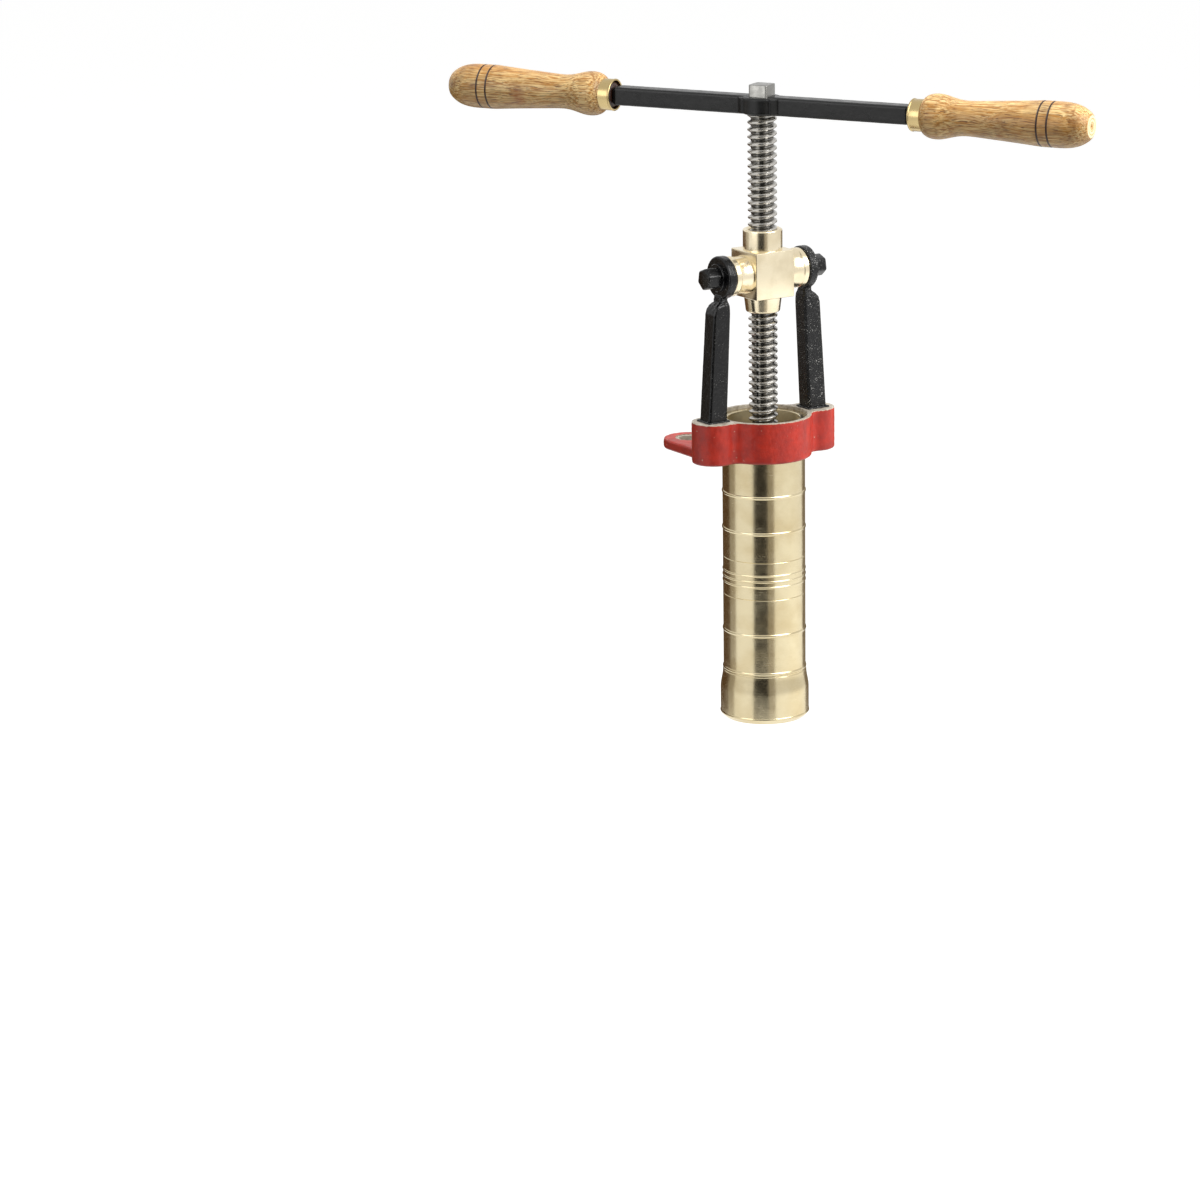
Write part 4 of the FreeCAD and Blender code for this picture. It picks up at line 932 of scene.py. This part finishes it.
class EXTRUDER_OT_foot_beads(bpy.types.Operator):
    """Build the uneven bead of weld round the foot of each arm"""

    bl_idname = "extruder.foot_beads"
    bl_label = "Weld beads"

    def execute(self, context):
        # The drops go round a rectangle of these half sizes and are 0.5 to 1.4 mm in radius.
        half_long, half_wide, drops = 7.9 * MM, 7.2 * MM, 84
        for side, word in SIDES:
            foot = side * settings("collar").wing_reach
            mesh = bmesh.new()
            for step in range(drops):
                turn = TAU * step / drops
                along, across = math.cos(turn), math.sin(turn)
                reach = 1 / max(abs(along) / half_long, abs(across) / half_wide)
                place = at(foot + reach * along, reach * across, COLLAR_TOP + 0.35 * MM)
                swell = 0.95 + 0.45 * noise.noise(Vector((step * 0.31, side * 7.0, 0.3)))
                bmesh.ops.create_icosphere(mesh, subdivisions=2, radius=swell * MM, matrix=place)
            piece = new_object(word + "_foot_weld", mesh)
            cast(piece, 0.28 * MM, 3, 0.16 * MM, 1.3 * MM)
            dress(piece, "frame", [], ["pitted_iron"], 60)
        return {"FINISHED"}


# ---------------------------------------------------------------- barrel and ring nut

class EXTRUDER_OT_barrel(bpy.types.Operator):
    """Turn the brass barrel with its beads and scribed lines"""

    bl_idname = "extruder.barrel"
    bl_label = "Barrel"

    def execute(self, context):
        sizes = settings("barrel")
        wall, flange = sizes.radius, BARREL_HIGH.x - AXIS.x
        low, high = BARREL_LOW.z, BARREL_HIGH.z
        thread_top = RING_HIGH.z
        edge = 0.4 * MM
        profile = [(sizes.bore, low), (sizes.thread, low), (sizes.thread, thread_top),
                   (wall, thread_top)]
        marks = [(drop, "bead") for drop in (sizes.fifth_bead, sizes.fourth_bead,
                                             sizes.second_bead, sizes.first_bead)]
        marks += [(sizes.fine_beads + sizes.fine_pitch * number, "fine") for number in range(3)]
        marks += [(sizes.lower_scribe, "line"), (sizes.upper_scribe, "line")]
        for drop, kind in sorted(marks, reverse=True):
            if kind == "line":
                profile += [(wall, -drop - 0.35 * MM), (wall - 0.3 * MM, -drop),
                            (wall, -drop + 0.35 * MM)]
            else:
                half = sizes.bead_half if kind == "bead" else sizes.fine_half
                proud = sizes.bead_proud if kind == "bead" else sizes.bead_proud * 0.7
                profile += bead_points(wall, -drop, half, proud)
        seat = high - sizes.flange_thick
        profile += [(wall, seat), (flange, seat), (flange, high - edge), (flange - edge, high),
                    (sizes.bore + edge, high), (sizes.bore, high - edge)]
        mesh = bmesh.new()
        lathe(mesh, profile, 160, at(), closed=True)
        piece = new_object("turned_barrel", mesh)
        assign(piece, lambda face: (face.center - AXIS).xy.length < sizes.bore + 2 * NEAR)
        dress(piece, "frame", ["barrel"], ["turned_brass", "bored_brass"], 28)
        return {"FINISHED"}


class EXTRUDER_OT_ring_nut(bpy.types.Operator):
    """Turn the flared ring nut at the foot of the barrel"""

    bl_idname = "extruder.ring_nut"
    bl_label = "Ring nut"

    def execute(self, context):
        sizes = settings("barrel")
        outside = RING_HIGH.x - AXIS.x
        # The flare's foot is drawn in from the full width, so that the bead stands proud of it.
        wall, top = outside - 0.35 * MM, sizes.ring_top_radius
        low, high = RING_LOW.z, RING_HIGH.z
        chamfer, opening, ledge = sizes.ring_chamfer, sizes.ring_opening, low + sizes.ring_lip
        profile = [(opening, low), (outside - chamfer + 0.3 * MM, low),
                   (outside - 0.9 * MM, low + 2.1 * MM)]
        profile += bead_points(wall, low + chamfer + 0.4 * MM, 0.9 * MM, 0.33 * MM)
        for step in range(9):
            share = step / 8
            ease = 0.5 - 0.5 * math.cos(math.pi * share)
            profile.append((wall - (wall - top) * ease,
                            high - sizes.ring_flare * (1 - share) - 0.4 * MM))
        profile += [(top - 0.4 * MM, high), (sizes.ring_bore, high), (sizes.ring_bore, ledge),
                    (opening, ledge)]
        mesh = bmesh.new()
        lathe(mesh, profile, 160, at(), closed=True)
        dress(new_object("flared_ring_nut", mesh), "ring_nut", ["end_ring_nut"],
              ["turned_brass"], 28)
        return {"FINISHED"}


# ---------------------------------------------------------------- screw and nut block

class EXTRUDER_OT_screw(bpy.types.Operator):
    """Cut the forcing screw: square tang, thread and journal"""

    bl_idname = "extruder.screw"
    bl_label = "Forcing screw"

    def execute(self, context):
        sizes = settings("screw")
        mesh = bmesh.new()
        shoulder = sizes.shoulder
        rod_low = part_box("thrust_washer")[1].z
        major, minor, pitch = sizes.major, sizes.minor, sizes.pitch
        low, high = rod_low + sizes.plain, shoulder - sizes.plain
        turns = math.ceil((high - low) / pitch) + 2
        steps = 36
        # One pitch from crest to crest; each flank leans and every corner is eased.
        form = ((major - 0.2 * MM, 0.0), (major, 0.06), (major, 0.22), (major - 0.2 * MM, 0.28),
                (minor + 0.3 * MM, 0.46), (minor, 0.52), (minor, 0.68), (minor + 0.3 * MM, 0.76),
                (major - 0.2 * MM, 1.0))
        verts = [mesh.verts.new((radius, 0, low + (share - 1) * pitch)) for radius, share in form]
        edges = [mesh.edges.new(pair) for pair in zip(verts, verts[1:])]
        bmesh.ops.spin(mesh, geom=verts + edges, cent=(0, 0, 0), dvec=(0, 0, pitch / steps),
                       axis=(0, 0, 1), angle=TAU * turns, steps=steps * turns)
        bmesh.ops.remove_doubles(mesh, verts=mesh.verts, dist=THREAD_WELD)
        for level, outwards in ((low, -1), (high, 1)):
            bisect(mesh, (0, 0, level), (0, 0, outwards), clear=True)
        bmesh.ops.remove_doubles(mesh, verts=mesh.verts, dist=THREAD_WELD)
        bmesh.ops.dissolve_degenerate(mesh, edges=mesh.edges, dist=THREAD_WELD)
        open_ends = [edge for edge in mesh.edges if edge.is_boundary]
        bmesh.ops.holes_fill(mesh, edges=open_ends, sides=0)
        bmesh.ops.transform(mesh, matrix=at(), verts=mesh.verts)
        ease = 0.3 * MM
        # The plain ends are 0.05 mm smaller than the crests, so that no two faces coincide.
        plain = major - 0.05 * MM
        for start, end in ((rod_low, low), (high, shoulder)):
            lathe(mesh, [(0, start), (major - ease, start), (plain, start + ease),
                         (plain, end - ease), (major - ease, end), (0, end)], 64, at())
        journal = sizes.journal
        lathe(mesh, [(0, SCREW_LOW.z), (journal, SCREW_LOW.z), (journal, rod_low), (0, rod_low)],
              48, at())
        turn = at(z=(shoulder + SCREW_HIGH.z) / 2) @ Matrix.Rotation(CRANK_TURN, 4, "Z")
        tang = block(mesh, (sizes.tang, sizes.tang, SCREW_HIGH.z - shoulder), turn)
        bevel(mesh, long_edges(tang, 2), 1.6 * MM, 4)
        lid = SCREW_HIGH.z - 0.01 * MM
        bevel(mesh, [edge for edge in mesh.edges if all(vert.co.z > lid for vert in edge.verts)],
              0.5 * MM)
        piece = new_object("forcing_screw", mesh)
        assign(piece, lambda face: face.center.z > shoulder + 0.01 * MM)
        dress(piece, "crank_screw", ["press_screw"],
              ["screw_steel", "bright_steel"], 30)
        return {"FINISHED"}


class EXTRUDER_OT_nut_block(bpy.types.Operator):
    """Build the brass nut block with its bosses and trunnions"""

    bl_idname = "extruder.nut_block"
    bl_label = "Nut block"

    def execute(self, context):
        sizes = settings("screw")
        half = sizes.block_high / 2
        mesh = bmesh.new()
        block(mesh, (sizes.block, sizes.block, sizes.block_high), at(z=PIVOT_UP))
        bevel(mesh, list(mesh.edges), sizes.block_edge)
        piece = new_object("brass_nut_block", mesh)
        low, high = NUT_LOW.z, NUT_HIGH.z
        upper, lower, bore = sizes.upper_boss, sizes.lower_boss, sizes.nut_bore
        edge = 1.3 * MM
        joined = bmesh.new()
        profile = arc_points((lower - 1.2 * MM - edge, low + edge), edge, -90, 0, 5)
        profile += [(lower + 0.2 * MM, PIVOT_UP - half + 2 * MM), (lower - 1 * MM, PIVOT_UP),
                    (upper - 1 * MM, PIVOT_UP), (upper, PIVOT_UP + half - 2 * MM)]
        profile += arc_points((upper - edge, high - edge), edge, 0, 90, 5)
        lathe(joined, [(0, low)] + profile + [(0, high)], 96, at())
        carve(piece, joined, "UNION")
        root, end = sizes.block / 2, NUT_HIGH.x - AXIS.x
        neck, flange, inside = sizes.neck, sizes.flange, end - sizes.flange_thick
        for side, _ in SIDES:
            joined = bmesh.new()
            turned = [(flange - 0.5 * MM, root - 1 * MM), (flange - 0.5 * MM, root + 0.5 * MM),
                      (neck + 0.35 * MM, root + 1.4 * MM), (neck, root + 3.2 * MM),
                      (neck + 0.1 * MM, inside - 2.4 * MM), (neck + 0.5 * MM, inside - 0.9 * MM),
                      (flange - 0.35 * MM, inside - 0.2 * MM), (flange, inside + 0.4 * MM),
                      (flange, end - 0.6 * MM), (flange - 0.6 * MM, end)]
            lathe(joined, [(0, root - 1 * MM), *turned, (0, end)], 96,
                  at(z=PIVOT_UP) @ facing_x(side))
            carve(piece, joined, "UNION")
        drill(piece, bore, 0.2, at(z=PIVOT_UP), 96)
        mouth = 1.2 * MM
        for height, inwards in ((low, 1), (high, -1)):
            sink = bmesh.new()
            lathe(sink, [(0, -MM), (bore + mouth + MM, -MM), (bore + mouth, 0), (bore, mouth),
                         (0, mouth)], 96, at(z=height) @ Matrix.Diagonal((1, 1, inwards, 1)))
            carve(piece, sink)
        dress(piece, "frame", ["nut_block"], ["nut_brass"], 26)
        return {"FINISHED"}


class EXTRUDER_OT_pivot_bolts(bpy.types.Operator):
    """Build the hexagon-headed pivot bolts and their washers"""

    bl_idname = "extruder.pivot_bolts"
    bl_label = "Pivot bolts"

    def execute(self, context):
        sizes = settings("screw")
        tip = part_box("pivot_bolts")[1].x - AXIS.x
        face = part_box("pivot_washers")[1].x - AXIS.x
        long = 20 * MM
        back, edge = face - sizes.washer_thick, 0.35 * MM
        for side, word in SIDES:
            mesh = bmesh.new()
            outwards = facing_x(side)
            # The heads stand as they were tightened, turned by 0.35 radians.
            place = at(side * (face + tip) / 2, 0, PIVOT_UP) @ outwards
            head = cylinder(mesh, sizes.bolt_head, tip - face,
                            place @ Matrix.Rotation(0.35, 4, "Z"), 6)
            bevel(mesh, long_edges(head, 0), 1.0 * MM)
            rim = [edge for edge in mesh.edges if all(abs(abs(vert.co.x) - tip) < 0.01 * MM
                                                      for vert in edge.verts)]
            bevel(mesh, rim, 1.1 * MM)
            cylinder(mesh, sizes.bolt_shank, long,
                     at(side * (face - long / 2 + MM), 0, PIVOT_UP) @ outwards, 48)
            washer = bmesh.new()
            lathe(washer, [(sizes.washer_hole, back), (sizes.washer, back),
                           (sizes.washer, face - edge), (sizes.washer - edge, face),
                           (sizes.washer_hole, face)], 64, at(z=PIVOT_UP) @ outwards, closed=True)
            for made, kind in ((mesh, "bolt"), (washer, "washer")):
                # The right-hand piece stands for the CAD node of both sides.
                nodes = ["pivot_" + kind + "s"] if side > 0 else []
                dress(new_object(word + "_pivot_" + kind, made), "frame", nodes,
                      ["black_iron"], 35)
        return {"FINISHED"}


# ---------------------------------------------------------------- crank

class EXTRUDER_OT_crank_bar(bpy.types.Operator):
    """Forge the crank bar with its round eye"""

    bl_idname = "extruder.crank_bar"
    bl_label = "Crank bar"

    def execute(self, context):
        sizes = settings("crank")
        bar, reach, hub = sizes.bar, sizes.reach, sizes.hub
        mesh = bmesh.new()
        verts = block(mesh, (reach * 2, bar, bar), Matrix.Identity(4))
        bevel(mesh, long_edges(verts, 0), sizes.bar_edge)
        # The last 2.5 mm at either end are drawn down to enter the ferrule.
        for side, _ in SIDES:
            bisect(mesh, (side * (reach - 2.5 * MM), 0, 0), (1, 0, 0))
        for vert in mesh.verts:
            if abs(vert.co.x) > reach - MM:
                vert.co.y *= 0.8
                vert.co.z *= 0.86
        half = sizes.hub_high / 2
        lathe(mesh, [(0, -half), (hub - MM, -half), (hub, MM - half), (hub, half - MM),
                     (hub - MM, half), (0, half)], 64)
        # Four fillets lead the bar into its eye.
        for end, _ in SIDES:
            for flank in (1, -1):
                block(mesh, (9 * MM, 4.2 * MM, 10.6 * MM),
                      Matrix.Translation((end * 12.8 * MM, flank * 5.4 * MM, 0))
                      @ Matrix.Rotation(end * flank * -0.72, 4, "Z"))
        turn = Matrix.Rotation(CRANK_TURN, 4, "Z")
        bmesh.ops.transform(mesh, matrix=at(z=CRANK_UP) @ turn, verts=mesh.verts)
        piece = new_object("forged_crank_bar", mesh)
        cast(piece, 0.5 * MM, 5, 0.06 * MM, 6 * MM)
        dress(piece, "crank_screw", ["crank_bar"], ["bar_black"], 50)
        return {"FINISHED"}


class EXTRUDER_OT_ferrules(bpy.types.Operator):
    """Spin the brass ferrules with their rolled edges"""

    bl_idname = "extruder.ferrules"
    bl_label = "Ferrules"

    def execute(self, context):
        sizes = settings("crank")
        outside, long = sizes.ferrule_radius, sizes.ferrule_long
        wall, roll = 1 * MM, 0.75 * MM
        for side, word in SIDES:
            profile = [(outside - wall, 0.2 * MM)]
            profile += arc_points((outside - roll + 0.3 * MM, roll), roll, -110, 60, 8)
            profile += [(outside, roll * 2.2), (outside, long - 0.3 * MM),
                        (outside - 0.3 * MM, long), (outside - wall, long)]
            mesh = bmesh.new()
            lathe(mesh, profile, 96, on_crank(side), closed=True)
            dress(new_object(word + "_brass_ferrule", mesh), "crank_screw", [word + "_ferrule"],
                  ["ferrule_brass"], 40)
        return {"FINISHED"}


class EXTRUDER_OT_grips(bpy.types.Operator):
    """Turn the wooden grips with their burnt grooves and parted ends"""

    bl_idname = "extruder.grips"
    bl_label = "Grips"

    def execute(self, context):
        sizes = settings("crank")
        start, long = sizes.ferrule_long, sizes.grip_long
        neck = sizes.ferrule_radius - 1.05 * MM
        # The share of the length and the radius: bulb, waist, swell, then the round to the tip.
        shape = [(0.003, 11.9 * MM), (0.012, 13.2 * MM), (0.035, 14.7 * MM), (0.07, sizes.bulb),
                 (0.105, 15.1 * MM), (0.145, 14.0 * MM), (0.185, 12.7 * MM), (0.235, sizes.waist),
                 (0.29, 11.75 * MM), (0.37, 12.4 * MM), (0.46, 13.1 * MM), (0.56, 13.9 * MM),
                 (0.65, 14.7 * MM)]
        for groove in (sizes.first_groove, sizes.second_groove):
            share = groove / long
            for away, cut in ((-0.9, 0.0), (-0.45, 0.0), (-0.3, 0.45), (0.3, 0.45), (0.45, 0.0),
                              (0.9, 0.0)):
                shape.append((share + away * MM / long, sizes.swell - 0.05 * MM - cut * MM))
        shape += [(0.83, 15.3 * MM), (0.87, 15.0 * MM), (0.90, 14.4 * MM), (0.93, 13.4 * MM),
                  (0.955, 12.0 * MM), (0.978, 10.2 * MM), (0.993, 8.6 * MM)]
        end, tip = start + long, sizes.tip
        profile = [(0, 0.2 * MM), (neck, 0.2 * MM), (neck, start)]
        profile += [(radius, start + share * long) for share, radius in shape]
        # The parted end: its edge, its flat and the dimple that the centre left.
        profile += [(tip, end - 0.35 * MM), (tip - 0.3 * MM, end - 0.05 * MM),
                    (1.4 * MM, end - 0.05 * MM), (0.6 * MM, end - 1.2 * MM), (0, end - 1.4 * MM)]
        for side, word in SIDES:
            mesh = bmesh.new()
            lathe(mesh, profile, 64, on_crank(side))
            piece = new_object(word + "_wooden_grip", mesh)
            direction = CRANK_DIRECTION * side
            dimple = AXIS + Vector((0, 0, CRANK_UP)) + direction * (sizes.reach + end - 1.6 * MM)

            def parted(face):
                """Whether a face is bare end grain: the flat end or the dimple in it."""
                away = face.center - dimple
                out = away.dot(direction)
                level = abs(face.normal.dot(direction)) > 0.75
                inside = (away - direction * out).length < tip - 0.2 * MM
                return out > 1.35 * MM or (out > 0 and level and inside)

            assign(piece, parted)
            modify(piece, "SUBSURF", levels=2, render_levels=2)
            dress(piece, "crank_screw", [word + "_grip"],
                  ["grip_wood", "end_grain"], 60)
        return {"FINISHED"}


class EXTRUDER_OT_inner_pieces(bpy.types.Operator):
    """Finish the pieces inside the barrel and under the wings, which keep their own shapes"""

    bl_idname = "extruder.inner_pieces"
    bl_label = "Inner pieces"

    def execute(self, context):
        finishes = {
            "piston": "bronze", "thrust_washer": "bronze", "die_plate": "bronze",
            "piston_seal_rings": "rubber", "die_gasket": "rubber", "retaining_washer": "zinc",
            "piston_retaining_bolt": "zinc", "arm_foot_nuts": "zinc", "arm_foot_washers": "zinc",
        }
        for node, name in finishes.items():
            for slot in frame["nodes"][node].material_slots:
                slot.material = finish(name)
        return {"FINISHED"}


# ---------------------------------------------------------------- studio

class EXTRUDER_OT_studio(bpy.types.Operator):
    """Set the camera, the pale floor, the white surround and the soft lights"""

    bl_idname = "extruder.studio"
    bl_label = "Studio"

    def execute(self, context):
        scene = context.scene
        scene.view_settings.view_transform = "Standard"
        self.camera(scene)
        self.surround(scene)
        self.lights(scene)
        return {"FINISHED"}

    def camera(self, scene):
        """A long lens, three metres away on the left in front and a little above."""
        bearing, away, high = math.radians(33.92), 3165.4 * MM, 732.9 * MM
        yaw, pitch, roll = -0.036, 0.258, -0.014
        # The focal length as a share of the render's width, which is 1200 pixels.
        focal = 4718.8 / 1200
        to_frame = Matrix.Rotation(-bearing, 3, "Z")
        place = AXIS + to_frame @ Vector((0, -away, high))
        forward = to_frame @ Vector((math.sin(yaw) * math.cos(pitch),
                                     math.cos(yaw) * math.cos(pitch), -math.sin(pitch)))
        level = to_frame @ Vector((math.cos(yaw), -math.sin(yaw), 0))
        up = level.cross(forward)
        right = level * math.cos(roll) + up * math.sin(roll)
        up = up * math.cos(roll) - level * math.sin(roll)
        data = bpy.data.cameras.new("camera")
        data.sensor_width = 36
        data.lens = focal * data.sensor_width
        data.clip_end = 60
        made = bpy.data.objects.new("camera", data)
        made.matrix_world = Matrix.Translation(place) @ Matrix(
            (right, up, -forward)).transposed().to_4x4()
        scene.collection.objects.link(made)
        scene.camera = made
        self.facing = Vector((-forward.x, -forward.y, 0)).normalized()
        self.side = level

    def surround(self, scene):
        """A white world, a pale floor below and cards for the metal to reflect."""
        world = bpy.data.worlds.new("surround")
        world.use_nodes = True
        tree = world.node_tree
        tree.nodes.clear()
        # White where it is seen, and a fifth of that for the rays that carry light.
        add(tree, "OutputWorld", {"Surface": add(tree, "Background", {
            "Color": (1, 1, 1), "Strength": add(tree, "MapRange", {0: seen_rays(tree), 3: 0.2})})})
        scene.world = world
        mesh = bmesh.new()
        bmesh.ops.create_grid(mesh, x_segments=4, y_segments=4, size=16,
                              matrix=Matrix.Translation((0, 0, FLOOR_UP)))
        floor = new_object("studio_floor", mesh)
        floor.data.materials.append(studio_white())
        # Curved cards that only reflections see: start and end in degrees from the camera,
        # positive to the right, then the top edge in metres and the colour.
        cards = (("dark_card", -31, 8, 0.25, "#24211D"), ("right_card", 8, 26, 0.25, "#ADA69B"),
                 ("left_card", -112, -88, 0.15, "#B3ACA2"),
                 ("left_back_card", -180, -112, 0.1, "#614B35"),
                 ("right_back_card", 130, 180, 0.1, "#897C6C"))
        radius = 0.9
        for name, start, end, top, tint in cards:
            card = bmesh.new()
            first = radius * (self.facing * math.cos(math.radians(start))
                              + self.side * math.sin(math.radians(start)))
            ends = [card.verts.new((first.x, first.y, up)) for up in (FLOOR_UP + 5 * MM, top)]
            edge = card.edges.new(ends)
            bmesh.ops.spin(card, geom=ends + [edge], cent=(0, 0, 0), axis=(0, 0, 1),
                           angle=math.radians(end - start), steps=12)
            bmesh.ops.transform(card, matrix=Matrix.Translation(AXIS), verts=card.verts)
            piece = new_object(name, card)
            made, tree = blank(name)
            add(tree, "OutputMaterial", {
                "Surface": add(tree, "Emission", {"Color": linear(tint), "Strength": 1.0})})
            piece.data.materials.append(made)
            piece.visible_camera = piece.visible_diffuse = piece.visible_shadow = False
            piece.visible_transmission = False

    def lights(self, scene):
        """Four soft panels: a key high on the right, a fill on the left, one above, one beside."""
        target = AXIS + Vector((0, 0, 0.03))
        # Metres towards the camera, to the right and up, then the size and the power in watts.
        panels = (("key", 0.8, 1.2, 1.2, 1.3, 34), ("fill", 1.0, -1.2, 0.6, 1.0, 6),
                  ("top", -0.2, 0.0, 1.7, 1.2, 28), ("side", -0.1, 1.5, 0.3, 0.8, 15))
        for name, near, right, up, size, power in panels:
            away = self.facing * near + self.side * right + Vector((0, 0, up))
            data = bpy.data.lights.new(name, "AREA")
            data.shape, data.size, data.energy = "SQUARE", size, power
            made = bpy.data.objects.new(name, data)
            made.location = target + away
            made.rotation_euler = (-away).to_track_quat("-Z", "Y").to_euler()
            # Gloss shows only the key and the fill.
            made.visible_glossy = name in ("key", "fill")
            scene.collection.objects.link(made)


class EXTRUDER_PT_panel(bpy.types.Panel):
    """Sidebar panel with the sizes, the colours and one button for each piece"""

    bl_idname = "EXTRUDER_PT_panel"
    bl_label = "Extruder"
    bl_space_type = "VIEW_3D"
    bl_region_type = "UI"
    bl_category = "Extruder"

    def draw(self, context):
        for name, group in SETTINGS.items():
            column = self.layout.column(align=True)
            column.label(text=group.__doc__)
            for field in group.__annotations__:
                column.prop(getattr(context.scene, name), field)
        for step in STEPS:
            self.layout.operator(step.bl_idname)


STEPS = (
    EXTRUDER_OT_studio, EXTRUDER_OT_collar, EXTRUDER_OT_arms, EXTRUDER_OT_foot_beads,
    EXTRUDER_OT_barrel, EXTRUDER_OT_ring_nut, EXTRUDER_OT_screw, EXTRUDER_OT_nut_block,
    EXTRUDER_OT_pivot_bolts, EXTRUDER_OT_crank_bar, EXTRUDER_OT_ferrules, EXTRUDER_OT_grips,
    EXTRUDER_OT_inner_pieces,
)
CLASSES = (*SETTINGS.values(), *STEPS, EXTRUDER_PT_panel)


def register():
    """Register the classes and hang the settings on the scene."""
    for item in CLASSES:
        bpy.utils.register_class(item)
    for name, group in SETTINGS.items():
        setattr(bpy.types.Scene, name, bpy.props.PointerProperty(type=group))


def unregister():
    """Take the settings off the scene and the classes out again."""
    for name in SETTINGS:
        delattr(bpy.types.Scene, name)
    for item in reversed(CLASSES):
        bpy.utils.unregister_class(item)


def main():
    """Build everything in order."""
    register()
    for step in STEPS:
        group, name = step.bl_idname.split(".")
        getattr(getattr(bpy.ops, group), name)()
    bpy.context.view_layer.update()


if __name__ == "__main__":
    main()
